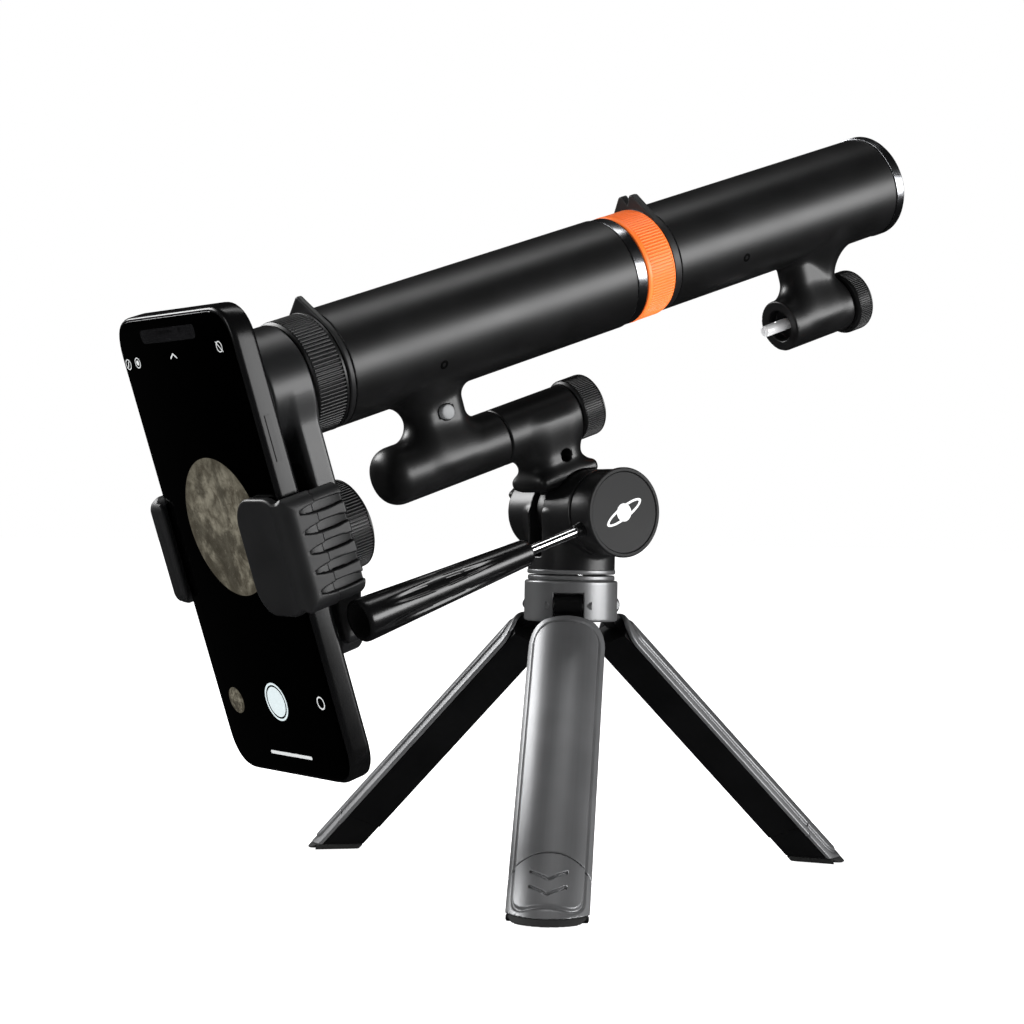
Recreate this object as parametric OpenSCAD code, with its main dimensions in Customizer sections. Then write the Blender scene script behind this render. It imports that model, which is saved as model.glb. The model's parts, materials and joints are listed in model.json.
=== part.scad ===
// Small refractor telescope on a folding table tripod, with a phone held behind the eyepiece.
// +Y is the heading it aims along, +X is its right-hand side, +Z is up and z = 0 is the table.

/* [Aim] */
// Elevation of the tube above level, in degrees
tube_tilt = 19; // [10:0.5:22]
// Height of the tube's axis where it crosses the pan axis
tube_z = 191.5; // [186:0.5:198]
// Height of the tilt axle
tilt_z = 117.2; // [115:0.2:120]

/* [Tubes] */
// Outer radius of the rear tube
rear_r = 18.2; // [17.8:0.1:18.6]
// Outer radius of the front tube
front_r = 17.5; // [17.2:0.1:17.7]
// Wall of both tubes
tube_wall = 1.6; // [1.4:0.1:1.8]
// Station of the rear end of the rear tube
rear_s = -101.4; // [-106:0.2:-98]
// Station of the joint between the rear tube and the metal ring
joint_s = 10.9; // [8:0.1:14]
// Station of the front face of the telescope
mouth_s = 138.2; // [134:0.2:144]

/* [Stems] */
// Distance from the tube's axis down to the rear stem's axis
rear_drop = 38.5; // [38:0.1:39]
// Distance from the tube's axis down to the front stem's axis
front_drop = 36.7; // [36.2:0.1:37.2]
// Radius of the rear stem and of the tripod adaptor
stem_r = 9.2; // [8.8:0.1:9.4]

/* [Tripod] */
// Outer radius of the collar
collar_r = 15.1; // [14.9:0.1:15.4]
// Angle of the legs from upright when they stand
leg_spread = 46; // [42:0.5:50]
// Heading of the first leg, turned from straight back towards the right
leg_heading = 49.5; // [40:0.5:60]
// Outer radius of a leg's round face
leg_r = 14.8; // [14.4:0.1:14.9]

/* [Phone] */
// Width of the phone
phone_w = 71.5; // [68:0.5:74]
// Length of the phone
phone_h = 147; // [140:1:150]
// Thickness of the phone
phone_t = 8; // [7.4:0.1:8.2]

/* [Hidden] */
$fn = 64;

// The pan axis stands this far from the middle of the whole object's footprint
pan_x = 9;
pan_y = 2;

// Gap between parts that turn or slide past each other, and between shaft and bore
gap = 0.3;
fit = 0.05;
tiny = 0.01;

// Station and drop of the tilt axle, seen from the tube
fall = tube_z - tilt_z;
axle_s = -fall * sin(tube_tilt);
axle_v = -fall * cos(tube_tilt);

// Heights in the tripod
collar_z0 = 82;
collar_z1 = 95.1;
ring_h = 1.7;
base_z0 = collar_z1 + ring_h + gap;
base_r = 14.1;
spindle_r = 5;
pin_y = 12.4;
pin_z = 87.2;
pin_r = 1.5;
knuckle_r = 3.2;
knuckle_w = 9;
leg_top = collar_z0 - 0.8;
leg_len = 140;
foot_len = 22;
sole_h = 2;
// Length of a leg's outer face from its top to the table
leg_face = (pin_z - (pin_z - leg_top) * cos(leg_spread)
            + (leg_r - pin_y) * -sin(leg_spread)) / cos(leg_spread);
seam_z = leg_top - leg_face + foot_len;

// Radii and sides of the tilt head, along the axle
ear_l_r = 12;
drum_r = 13.8;
ear_l_x0 = -19.6;
slot_x0 = -6;
slot_x1 = 2;
ear_r_x1 = 16.3;
drum_x0 = ear_r_x1 + gap;
drum_x1 = 26.1;
cap_r = 14.3;
cap_x1 = 27.3;
axle_r = 3;

// Handle: its axis, and the stations of the rod and the grip
handle_x = 21.4;
handle_v = axle_v - 1.2;
rod_r = 1.6;
grip_s0 = -124.5;
grip_s1 = -60;
grip_r0 = 6.6;
grip_r1 = 4.2;

// Adaptor between the tripod and the rear stem
stem_s0 = -85.7;
stem_s1 = -46.6;
adaptor_s0 = -46.4;
adaptor_s1 = -17.2;
adaptor_knob_s0 = -16.9;
adaptor_knob_s1 = -7.6;
adaptor_knob_r = 10.3;
shoe_s = -27.4;
bolt_r = 3.1;

// Necks between the tubes and the stems: middle station and size
rear_neck_s = -66.5;
front_neck_s = 99;
neck_half = 10.5;
neck_x = 6.5;

// Stations of the rings round the tube
focus_s0 = 16;
focus_s1 = 27.6;
focus_r = 17.95;
front_s0 = 27.9;
bezel_s0 = 133.9;
bezel_r = 17.8;
front_stem_s0 = 81.5;
front_stem_s1 = 110.4;
front_stem_r = 8.9;
front_knob_s0 = 110.8;
front_knob_s1 = 118.2;
front_knob_r = 10.8;
stud_s0 = 74;
stud_r = 2;
eye_ring_s0 = -115.3;
eye_ring_s1 = -103.8;
eye_ring_r = 18.3;
barrel_r = 13.5;
draw_r = 15.9;

// Phone adapter, and the phone's place in it
adapter_s0 = -130;
adapter_s1 = -115.6;
adapter_r = 17.7;
arm_s0 = -124;
arm_half = 16;
arm_tail = 11;
arm_v_narrow = -63;
arm_v0 = -84;
phone_x = -16.1;
phone_v = -45;
phone_s = -138.7;
phone_gap = 0.3;
jaw_v0 = -64.3;
jaw_v1 = -28.3;
jaw_lip_right = 19.5;
jaw_lip_left = 1.6;
jaw_wall_right = 4.6;
jaw_wall_left = 6.4;
knob_v = -47;
knob_r = 14;
knob_s1 = -106;

// Moves a child from the tube's frame: dx right, s forward along the axis, v up from it
module at_tube(s = 0, dx = 0, v = 0) {
  translate([0, 0, tube_z]) rotate([tube_tilt, 0, 0]) translate([dx, s, v]) children();
}

// Round bar along the tube's direction, from station s0 to s1
module bar(s0, s1, r, dx = 0, v = 0) {
  at_tube(s0, dx, v) rotate([-90, 0, 0]) cylinder(h = s1 - s0, r = r);
}

// Ring along the tube's direction
module ring(s0, s1, r, hole, dx = 0, v = 0) {
  difference() {
    bar(s0, s1, r, dx, v);
    bar(s0 - 1, s1 + 1, hole, dx, v);
  }
}

// Box in the tube's frame, between two corners [dx, s, v]
module tube_box(low, high) {
  at_tube() translate(low) cube(high - low);
}

// Bar across the head, along +X, on the tilt axle's line
module across(x0, x1, r, z = tilt_z) {
  translate([x0, 0, z]) rotate([0, 90, 0]) cylinder(h = x1 - x0, r = r);
}

// Flat outline with round corners
module rounded(w, h, r) {
  square([w - 2 * r, h], center = true);
  square([w, h - 2 * r], center = true);
  for (x = [-1, 1], y = [-1, 1]) translate([x * (w / 2 - r), y * (h / 2 - r)]) circle(r = r);
}

// Column with round ends, across v, that joins a tube to its stem
module neck(s, v0, v1) {
  at_tube(s, 0, v0) {
    for (side = [-1, 1]) translate([0, side * (neck_half - neck_x), 0]) cylinder(h = v1 - v0, r = neck_x);
    translate([-neck_x, neck_x - neck_half, 0]) cube([2 * neck_x, 2 * (neck_half - neck_x), v1 - v0]);
  }
}

// Bore and side windows of the collar are cut for the spindle and the three leg knuckles
module collar() color("#8b8d90") difference() {
  translate([0, 0, collar_z0]) cylinder(h = collar_z1 - collar_z0, r = collar_r);
  translate([0, 0, collar_z0 - 1]) cylinder(h = 20, r = spindle_r + fit);
  translate([0, 0, collar_z0 - 1]) cylinder(h = 3.6, r = 7);
  for (i = [0 : 2]) rotate([0, 0, leg_heading + 120 * i]) {
    translate([-knuckle_w / 2 - gap, -collar_r - 1, collar_z0 - 1]) cube([knuckle_w + 2 * gap, 7.6, 10.2]);
    translate([0, -pin_y, pin_z]) rotate([0, 90, 0]) cylinder(h = 15.2, r = pin_r, center = true);
  }
}

module pan_ring() color("#8b8d90") difference() {
  translate([0, 0, collar_z1]) cylinder(h = ring_h, r = base_r);
  translate([0, 0, collar_z1 - 1]) cylinder(h = ring_h + 2, r = spindle_r + fit);
}

module hinge_pins() color("silver") for (i = [0 : 2]) rotate([0, 0, leg_heading + 120 * i])
  translate([0, -pin_y, pin_z]) rotate([0, 90, 0]) cylinder(h = 15, r = pin_r, center = true);

// Swings a leg, drawn hanging closed under the collar, out to where it stands
module stand_leg(i) {
  difference() {
    rotate([0, 0, leg_heading + 120 * i]) translate([0, -pin_y, pin_z]) rotate([-leg_spread, 0, 0])
      translate([0, pin_y, -pin_z]) children();
    translate([-200, -200, -100]) cube([400, 400, 100]);
  }
}

// Third of a round bar, with its point at the axis and its round face towards -Y
module leg_section(r, back = 0.3) {
  intersection() {
    circle(r = r);
    polygon([[0, -back], [r * 2 * sin(60), -back - r * 2 * cos(60)], [0, -r * 4],
             [-r * 2 * sin(60), -back - r * 2 * cos(60)]]);
  }
}

module leg_core(i) color("#1b1c1e") stand_leg(i) difference() {
  union() {
    translate([0, 0, seam_z]) linear_extrude(leg_top - 2 - seam_z) leg_section(leg_r - 1.9);
    translate([-knuckle_w / 2, -pin_y + 0.4, leg_top - 4]) cube([knuckle_w, 2.8, pin_z - leg_top + 4]);
    translate([0, -pin_y, pin_z]) rotate([0, 90, 0]) cylinder(h = knuckle_w, r = knuckle_r, center = true);
  }
  translate([0, 0, seam_z + 3]) linear_extrude(leg_top - 10 - seam_z) translate([0, -1]) leg_section(leg_r - 4.6, 2.4);
  translate([0, -pin_y, pin_z]) rotate([0, 90, 0]) cylinder(h = 12, r = pin_r + fit, center = true);
}

// Outline of a leg's round face, seen from outside: square at the foot, round at the top
module face_outline(z0, z1, w, r) {
  translate([0, (z0 + z1 - r) / 2]) square([w, z1 - r - z0], center = true);
  translate([0, z1 - r / 2]) square([w - 2 * r, r], center = true);
  for (x = [-1, 1]) translate([x * (w / 2 - r), z1 - r]) circle(r = r);
}

module leg_cover(i) color("#8b8d90") stand_leg(i) intersection() {
  translate([0, 0, seam_z]) linear_extrude(leg_top - seam_z) difference() {
    leg_section(leg_r);
    circle(r = leg_r - 1.9);
  }
  rotate([90, 0, 0]) linear_extrude(20) face_outline(seam_z - 1, leg_top, 2 * leg_r, 8);
}

module leg_foot(i) color("#8b8d90") difference() {
  stand_leg(i) translate([0, 0, seam_z - 60]) linear_extrude(60) leg_section(leg_r);
  translate([-200, -200, -1]) cube([400, 400, 1 + sole_h]);
}

module leg_sole(i) color("#141415") intersection() {
  stand_leg(i) translate([0, 0, seam_z - 60]) linear_extrude(60) leg_section(leg_r - 0.3, 0.8);
  translate([-200, -200, -1]) cube([400, 400, 1 + sole_h]);
}

module leg_1_core() leg_core(0);
module leg_1_cover() leg_cover(0);
module leg_1_foot() leg_foot(0);
module leg_1_sole() leg_sole(0);
module leg_2_core() leg_core(1);
module leg_2_cover() leg_cover(1);
module leg_2_foot() leg_foot(1);
module leg_2_sole() leg_sole(1);
module leg_3_core() leg_core(2);
module leg_3_cover() leg_cover(2);
module leg_3_foot() leg_foot(2);
module leg_3_sole() leg_sole(2);

// Turning base with two ears that carry the tilt axle
module head_base() color("#232427") difference() {
  union() {
    translate([0, 0, base_z0]) cylinder(h = tilt_z - base_z0, r = base_r);
    across(ear_l_x0, slot_x0 + 1, ear_l_r);
    across(slot_x1 - 1, ear_r_x1, drum_r);
  }
  translate([slot_x0, -30, tilt_z - drum_r - 0.6]) cube([slot_x1 - slot_x0, 60, 40]);
  translate([ear_r_x1, -30, base_z0 - 1]) cube([30, 60, 60]);
  across(slot_x0 - 8, ear_r_x1 + 1, axle_r + fit);
  across(ear_l_x0 - 1, ear_l_x0 + 4, 2.3);
  translate([0, 0, base_z0 - 1]) cylinder(h = 5, r = spindle_r);
}

// Shaft the head turns on, with its head let into the collar from below
module pan_spindle() color("silver") {
  translate([0, 0, collar_z0 + 2.7]) cylinder(h = base_z0 + 4 - collar_z0 - 2.7, r = spindle_r);
  translate([0, 0, collar_z0 + 1.3]) cylinder(h = 1.2, r = 6.4);
  translate([0, 0, collar_z0 + 2.4]) cylinder(h = 1, r = spindle_r);
}

// Small wing knob that locks the tilt
module lock_wing() color("#1b1c1e") difference() {
  union() {
    across(ear_l_x0 - 5.4, ear_l_x0 - gap, 4.4);
    translate([ear_l_x0 - 5.4, 0, tilt_z]) rotate([-156, 0, 0]) translate([0, -10, -2.8]) cube([3.6, 20, 5.6]);
  }
  across(ear_l_x0 - 3.4, ear_l_x0, 2.2);
}

module lock_stud() color("silver") across(ear_l_x0 - 3.4, ear_l_x0 + 3.6, 2.2);

module tilt_axle() color("silver") across(slot_x0 - 7.6, drum_x1 - 4, axle_r);

module tilt_drum() color("#232427") difference() {
  across(drum_x0, drum_x1, drum_r);
  across(drum_x0 - 1, drum_x1 - 4, axle_r);
  bar(-60, axle_s - 6, 2.9, handle_x, handle_v);
}

// Cap with a raised rim that closes the drum
module drum_cap() color("#3a3b3e") difference() {
  across(drum_x1, cap_x1, cap_r);
  across(cap_x1 - 0.5, cap_x1 + 1, cap_r - 1.3);
}

// Plain sign of a ringed planet on the cap, turned level with the tube
module cap_emblem() color("white") translate([cap_x1 - 0.5, 0, tilt_z]) rotate([0, 90, 0]) rotate([0, 0, 90])
  rotate([0, 0, tube_tilt]) linear_extrude(0.2) {
    circle(r = 2.4);
    for (side = [-1, 1]) translate([side * 4.6, 0]) square([4.6, 0.7], center = true);
  }

module rod_ferrule() color("#141415") ring(axle_s - 16.4, axle_s - 6.1, 2.8, rod_r, handle_x, handle_v);

module handle_rod() color("#d6d8da") bar(grip_s1 - 22, axle_s - 6.1, rod_r, handle_x, handle_v);

// Tapered grip, open at its rear end, that turns on the rod
module handle_grip() color("#1b1c1e") difference() {
  at_tube(grip_s0, handle_x, handle_v) rotate([-90, 0, 0]) union() {
    cylinder(h = 1, r1 = grip_r0 - 0.6, r2 = grip_r0);
    translate([0, 0, 1]) cylinder(h = grip_s1 - grip_s0 - 1, r1 = grip_r0, r2 = grip_r1);
  }
  bar(grip_s0 - 1, grip_s0 + 9, grip_r0 - 1.4, handle_x, handle_v);
  bar(grip_s1 - 24, grip_s1 + 1, rod_r + fit, handle_x, handle_v);
}

// Clamp barrel with a neck and a shoe, hollowed underneath to clear the ears and the drum
module adaptor_saddle() difference() {
  union() {
    bar(adaptor_s0, adaptor_s1, stem_r, 0, -rear_drop);
    at_tube(shoe_s, 0, axle_v + 11) cylinder(h = -rear_drop - axle_v - 14, r = 7.6);
    at_tube(shoe_s, 0, -58.8) linear_extrude(4) rounded(18, 19, 4);
  }
  across(ear_l_x0 - 3, drum_x1 + 5, drum_r + gap);
}

// The saddle, and the tongue under it that tilts between the ears
module adaptor_body() color("#1f2023") difference() {
  union() {
    adaptor_saddle();
    across(slot_x0 + gap, slot_x1 - gap, 10.6);
    at_tube(axle_s, 0, axle_v) translate([slot_x0 + gap, -7, axle_r + 2])
      cube([slot_x1 - slot_x0 - 2 * gap, 11.6, 10]);
  }
  across(slot_x0 - 1, slot_x1 + 1, axle_r);
  bar(adaptor_s0 - 1, adaptor_s1 + 1, bolt_r + fit, 0, -rear_drop);
  at_tube(-26.5, 2, -50.3) rotate([0, 90, 0]) cylinder(h = 12, r = 1.9);
}

module adaptor_knob() color("#141415") difference() {
  bar(adaptor_knob_s0, adaptor_knob_s1, adaptor_knob_r, 0, -rear_drop);
  bar(adaptor_knob_s0 - 1, adaptor_knob_s1 - 2, bolt_r, 0, -rear_drop);
}

module adaptor_bolt() color("silver") bar(stem_s1 - 13, adaptor_knob_s1 - 2, bolt_r, 0, -rear_drop);

module rear_tube() color("#1f2023") difference() {
  ring(rear_s, joint_s, rear_r, rear_r - tube_wall);
  side_screws(-68.6, rear_r, 28.7);
}

module rear_stem() color("#1f2023") difference() {
  union() {
    bar(stem_s0, stem_s1, stem_r, 0, -rear_drop);
    neck(rear_neck_s, -rear_drop, -14);
  }
  bar(rear_s, joint_s, rear_r);
  bar(stem_s1 - 14, stem_s1 + 1, bolt_r + fit, 0, -rear_drop);
  at_tube(-66.1, neck_x - 2.6, -24.1) rotate([0, 90, 0]) cylinder(h = 9, r = 2.5);
}

// Domed plug that closes the rear end of the stem
module stem_cap() color("#1f2023") at_tube(stem_s0, 0, -rear_drop) rotate([90, 0, 0])
  rotate_extrude() polygon([[0, 0], for (t = [0 : 10 : 90]) [stem_r * pow(cos(t), 0.6), 6.4 * sin(t)]]);

// Cross-headed screw seats on both sides of a tube
module side_screws(s, r, drop_angle) {
  for (side = [-1, 1]) at_tube(s) rotate([0, side * drop_angle, 0]) translate([side * (r - 1.5), 0, 0])
    rotate([0, side * 90, 0]) cylinder(h = 1.45, r = 1.1);
}

module rear_screws() color("#0c0c0d") side_screws(-68.6, rear_r, 28.7);

module release_button() color("#b9bbbd") at_tube(-66.1, neck_x - 1.4, -24.1) rotate([0, 90, 0])
  cylinder(h = 2.6, r = 2.4);

// Sight plate: an outline that runs into its ring along tangents
module sight_plate(s, thick, r, top) {
  at_tube(s) rotate([90, 0, 0]) linear_extrude(thick) difference() {
    polygon([[-r * sin(40), r * cos(40)], [-2.6, top], [2.6, top], [r * sin(40), r * cos(40)], [0, r * 0.6]]);
    circle(r = r - 1);
  }
}

module rear_sight() color("#1b1c1e") {
  ring(rear_s - 2.1, rear_s, rear_r, rear_r - 4);
  sight_plate(rear_s, 2.1, rear_r, 22.9);
}

module joint_ring() color("#5a5b60") ring(joint_s, focus_s0 - gap, 17.5, draw_r + fit);

module focus_ring() color("#f4691e") ring(focus_s0, focus_s1, focus_r, draw_r + gap);

module front_tube() color("#1f2023") difference() {
  ring(front_s0 + 3, bezel_s0, front_r, front_r - tube_wall);
  side_screws(60.5, front_r, 27.7);
}

module front_stem() color("#1f2023") difference() {
  union() {
    bar(front_stem_s0, front_stem_s1, front_stem_r, 0, -front_drop);
    neck(front_neck_s, -front_drop, -14);
  }
  bar(60, bezel_s0, front_r);
  bar(front_stem_s0 - 1, front_stem_s1 + 1, stud_r + fit, 0, -front_drop);
  bar(front_stem_s0 - 1, front_stem_s0 + 4, 5.4, 0, -front_drop);
}

module front_sight() color("#1b1c1e") {
  ring(front_s0, front_s0 + 3, front_r, draw_r);
  difference() {
    sight_plate(front_s0 + 3, 2.6, front_r, 23.4);
    at_tube(front_s0 + 4) rotate([90, 0, 0]) linear_extrude(5) polygon([[-2, 25], [0, 19.6], [2, 25]]);
  }
}

module front_bezel() color("#3c3d42") ring(bezel_s0, mouth_s, bezel_r, 15.6);

module front_screws() color("#0c0c0d") side_screws(60.5, front_r, 27.7);

// Convex glass at the front end
module objective_lens() color("#9fb8d8") intersection() {
  bar(mouth_s - 12.4, mouth_s - 8, 15.6);
  at_tube(mouth_s - 9 - 42) sphere(r = 42, $fn = 128);
}

module lens_retainer() color("#1b1c1e") ring(mouth_s - 9, bezel_s0, front_r - tube_wall, 14);

module draw_tube() color("#2a2b2e") ring(joint_s - 12, front_s0 + 14, draw_r, draw_r - 1.4);

module front_knob() color("#232428") difference() {
  bar(front_knob_s0, front_knob_s1, front_knob_r, 0, -front_drop);
  bar(front_knob_s0 - 1, front_knob_s1 - 2, stud_r, 0, -front_drop);
}

module front_stud() color("#d6d8da") bar(stud_s0, front_knob_s1 - 2, stud_r, 0, -front_drop);

module eyepiece_ring() color("#1b1c1e") ring(eye_ring_s0, eye_ring_s1, eye_ring_r, barrel_r + fit);

// Barrel with a collar that seats in the tube's rear end
module eyepiece_barrel() color("#1b1c1e") difference() {
  union() {
    bar(adapter_s0 + 2, rear_s + 8, barrel_r);
    bar(rear_s, rear_s + 8, rear_r - tube_wall);
  }
  bar(adapter_s0, rear_s + 9, 10.5);
}

module lens(s, half, r, curve) {
  intersection() {
    bar(s - half, s + half + 1, r);
    at_tube(s + half - curve) sphere(r = curve, $fn = 96);
  }
}

module eye_lens() color("#b8c8dc") lens(-122, 2, 10.5, 20);

module field_lens() color("#b8c8dc") lens(-98, 2, 10.5, 26);

// Clamping collar with the arm that hangs behind the phone
module adapter_body() color("#2c2d31") difference() {
  union() {
    bar(adapter_s0, adapter_s1, adapter_r);
    tube_box([-arm_half, arm_s0, arm_v_narrow], [arm_half, adapter_s1, -4]);
    tube_box([-arm_tail, arm_s0, arm_v0 + 6], [arm_tail, adapter_s1, arm_v_narrow + 1]);
    bar(arm_s0, adapter_s1, 8, 0, arm_v0 + 8);
    tube_box([-20, adapter_s0, jaw_v0 + 2], [2, arm_s0, jaw_v1 - 2]);
  }
  bar(adapter_s0 - 1, adapter_s1 + 1, barrel_r);
  bar(arm_s0 - 8, adapter_s1 + 1, 4 + fit, 0, knob_v);
  tube_box([-40, adapter_s0 + 1.2, jaw_v0 + 8], [40, arm_s0, jaw_v0 + 13]);
  tube_box([-40, adapter_s0 + 1.2, jaw_v1 - 13], [40, arm_s0, jaw_v1 - 8]);
}

module phone_knob() color("#1b1c1e") difference() {
  bar(adapter_s1 + gap, knob_s1, knob_r, 0, knob_v);
  bar(adapter_s1, knob_s1 - 2, 4, 0, knob_v);
}

module knob_shaft() color("silver") bar(arm_s0 - 3, knob_s1 - 2, 4, 0, knob_v);

// Jaw that hooks round one long edge of the phone, with a slide bar in the arm's channel
module jaw(side, wall, lip, rail_v) {
  edge = phone_x + side * (phone_w / 2 + phone_gap);
  front = phone_s - phone_gap;
  outer = edge + side * wall;
  inner = edge - side * lip;
  reach = edge - side * 15;
  round_r = min(7, (wall + lip) / 2 - 0.1);
  tube_box([min(edge, outer), front - 1, jaw_v0], [max(edge, outer), -119.8, jaw_v1]);
  at_tube(front, (outer + inner) / 2, (jaw_v0 + jaw_v1) / 2) rotate([90, 0, 0])
    linear_extrude(2) rounded(wall + lip, jaw_v1 - jaw_v0, round_r);
  tube_box([min(edge, reach), adapter_s0 + 1.5, rail_v], [max(edge, reach), arm_s0 - gap, rail_v + 4.4]);
}

module jaw_right() color("#2b2c2f") jaw(1, jaw_wall_right, jaw_lip_right, jaw_v1 - 12.7);

module jaw_left() color("#2b2c2f") jaw(-1, jaw_wall_left, jaw_lip_left, jaw_v0 + 8.3);

module phone_body() color("#1c1d20") difference() {
  at_tube(phone_s + phone_t, phone_x, phone_v) rotate([90, 0, 0]) linear_extrude(phone_t)
    rounded(phone_w, phone_h, 10);
  at_tube(phone_s + 0.8, phone_x, phone_v) rotate([90, 0, 0]) linear_extrude(5)
    rounded(phone_w - 2, phone_h - 2, 9);
  tube_box([phone_x + phone_w / 2 - 1, phone_s + 3, phone_v + 26],
           [phone_x + phone_w, phone_s + 5, phone_v + 40]);
}

module phone_screen() color("#08090b") at_tube(phone_s + 0.8, phone_x, phone_v) rotate([90, 0, 0])
  linear_extrude(0.8) rounded(phone_w - 2, phone_h - 2, 9);

module phone_button() color("#1c1d20") tube_box(
  [phone_x + phone_w / 2 - 0.4, phone_s + 3.1, phone_v + 26.1],
  [phone_x + phone_w / 2 + 0.3, phone_s + 4.9, phone_v + 39.9]);

// Sets every part down where the tripod stands
module placed() {
  translate([pan_x, pan_y, 0]) children();
}

placed() collar();
placed() pan_ring();
placed() hinge_pins();
placed() leg_1_core();
placed() leg_1_cover();
placed() leg_1_foot();
placed() leg_1_sole();
placed() leg_2_core();
placed() leg_2_cover();
placed() leg_2_foot();
placed() leg_2_sole();
placed() leg_3_core();
placed() leg_3_cover();
placed() leg_3_foot();
placed() leg_3_sole();
placed() head_base();
placed() pan_spindle();
placed() lock_wing();
placed() lock_stud();
placed() tilt_axle();
placed() tilt_drum();
placed() drum_cap();
placed() cap_emblem();
placed() rod_ferrule();
placed() handle_rod();
placed() handle_grip();
placed() adaptor_body();
placed() adaptor_knob();
placed() adaptor_bolt();
placed() rear_tube();
placed() rear_stem();
placed() stem_cap();
placed() rear_screws();
placed() release_button();
placed() rear_sight();
placed() joint_ring();
placed() focus_ring();
placed() front_tube();
placed() front_stem();
placed() front_sight();
placed() front_bezel();
placed() front_screws();
placed() objective_lens();
placed() lens_retainer();
placed() draw_tube();
placed() front_knob();
placed() front_stud();
placed() eyepiece_ring();
placed() eyepiece_barrel();
placed() eye_lens();
placed() field_lens();
placed() adapter_body();
placed() phone_knob();
placed() knob_shaft();
placed() jaw_right();
placed() jaw_left();
placed() phone_body();
placed() phone_screen();
placed() phone_button();
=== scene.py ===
"""Telescope on a table tripod, with a phone behind the eyepiece: the looks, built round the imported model.

Moulded parts are meshed from distance fields, turned parts are lathed, and ribs come from Geometry Nodes.
Shapes are worked out in millimetres in a straight frame of their own, and become metres when they are made.
"""
import json
import math

import bmesh
import bpy
import numpy as np
from mathutils import Matrix, Vector

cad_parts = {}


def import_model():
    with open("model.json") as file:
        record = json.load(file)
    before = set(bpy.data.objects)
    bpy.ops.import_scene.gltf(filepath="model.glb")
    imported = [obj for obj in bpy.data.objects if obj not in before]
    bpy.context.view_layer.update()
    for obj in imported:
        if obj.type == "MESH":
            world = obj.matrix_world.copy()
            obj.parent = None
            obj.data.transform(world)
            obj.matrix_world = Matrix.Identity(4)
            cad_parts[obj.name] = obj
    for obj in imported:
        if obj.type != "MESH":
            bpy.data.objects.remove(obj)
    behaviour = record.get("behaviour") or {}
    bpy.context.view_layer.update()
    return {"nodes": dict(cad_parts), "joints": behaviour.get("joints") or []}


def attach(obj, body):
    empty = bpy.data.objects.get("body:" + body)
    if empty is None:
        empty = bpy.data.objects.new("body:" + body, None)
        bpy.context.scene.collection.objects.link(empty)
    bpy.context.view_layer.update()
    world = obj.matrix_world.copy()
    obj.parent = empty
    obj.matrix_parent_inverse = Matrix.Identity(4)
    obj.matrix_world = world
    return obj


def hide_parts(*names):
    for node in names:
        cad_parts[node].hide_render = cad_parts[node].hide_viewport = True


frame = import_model()

MM = 0.001
RIGHT = np.array([1.0, 0.0, 0.0])
UP = np.array([0.0, 0.0, 1.0])
JOINTS = {joint["name"]: joint for joint in frame["joints"]}


# ---------------------------------------------------------------- straight frames

class Place:
    """A straight frame in millimetres: an origin and three square axes."""

    def __init__(self, origin, x, y, z):
        self.origin = np.array(origin, float)
        self.axes = np.array([x, y, z], float)

    def out(self, points):
        """Points of this frame, in metres in the model's frame."""
        return (self.origin + np.asarray(points, float) @ self.axes) * MM

    def span(self, node):
        """Lowest and highest corner of a CAD node, seen in this frame."""
        mesh = frame["nodes"][node].data
        points = np.empty(len(mesh.vertices) * 3)
        mesh.vertices.foreach_get("co", points)
        local = (points.reshape(-1, 3) / MM - self.origin) @ self.axes.T
        return local.min(0), local.max(0)

    def matrix(self, centre=(0, 0, 0)):
        """Matrix that lays a thing made along Z in metres down along this frame's second axis."""
        x, y, z = self.axes
        turn = Matrix((z, x, y)).transposed().to_4x4()
        return Matrix.Translation(self.out(centre)) @ turn


def joint_line(name):
    """Axis and position of a joint, the position in millimetres."""
    joint = JOINTS[name]
    return np.array(joint["axis"], float), np.array(joint.get("pos_m", (0, 0, 0)), float) / MM


PAN = joint_line("pan")[1]
AHEAD, _focus = joint_line("focus_turn")
OVER = np.cross(RIGHT, AHEAD)
# The tube's frame: x to the right, s ahead along its axis from the pan axis, v up from the axis
TUBE = Place(_focus - AHEAD * (_focus[1] - PAN[1]) / AHEAD[1], RIGHT, AHEAD, OVER)
# The head's frame: upright on the pan axis, and the same seen along the tilt axle
POST = Place((PAN[0], PAN[1], 0), RIGHT, UP, np.cross(RIGHT, UP))
PIVOT = joint_line("tilt")[1]
AXLE = Place(PIVOT, AHEAD, RIGHT, np.cross(AHEAD, RIGHT))


def leg_place(name):
    """Frame of a leg as it would hang closed: x across, -y outward, z up from its pin."""
    across, pin = joint_line(name)
    spread = math.radians(JOINTS[name]["range_deg"][1])
    reach = math.hypot(*(pin - PAN)[:2])
    inward = np.cross(UP, across)
    y = inward * math.cos(spread) - UP * math.sin(spread)
    z = inward * math.sin(spread) + UP * math.cos(spread)
    return Place(pin + y * reach, across, y, z)


# ---------------------------------------------------------------- meshes

SQUARE = ((-1, -1), (1, -1), (1, 1), (-1, 1))


def put(name, data):
    """An object in the scene that holds the data."""
    thing = bpy.data.objects.new(name, data)
    bpy.context.scene.collection.objects.link(thing)
    return thing


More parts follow.
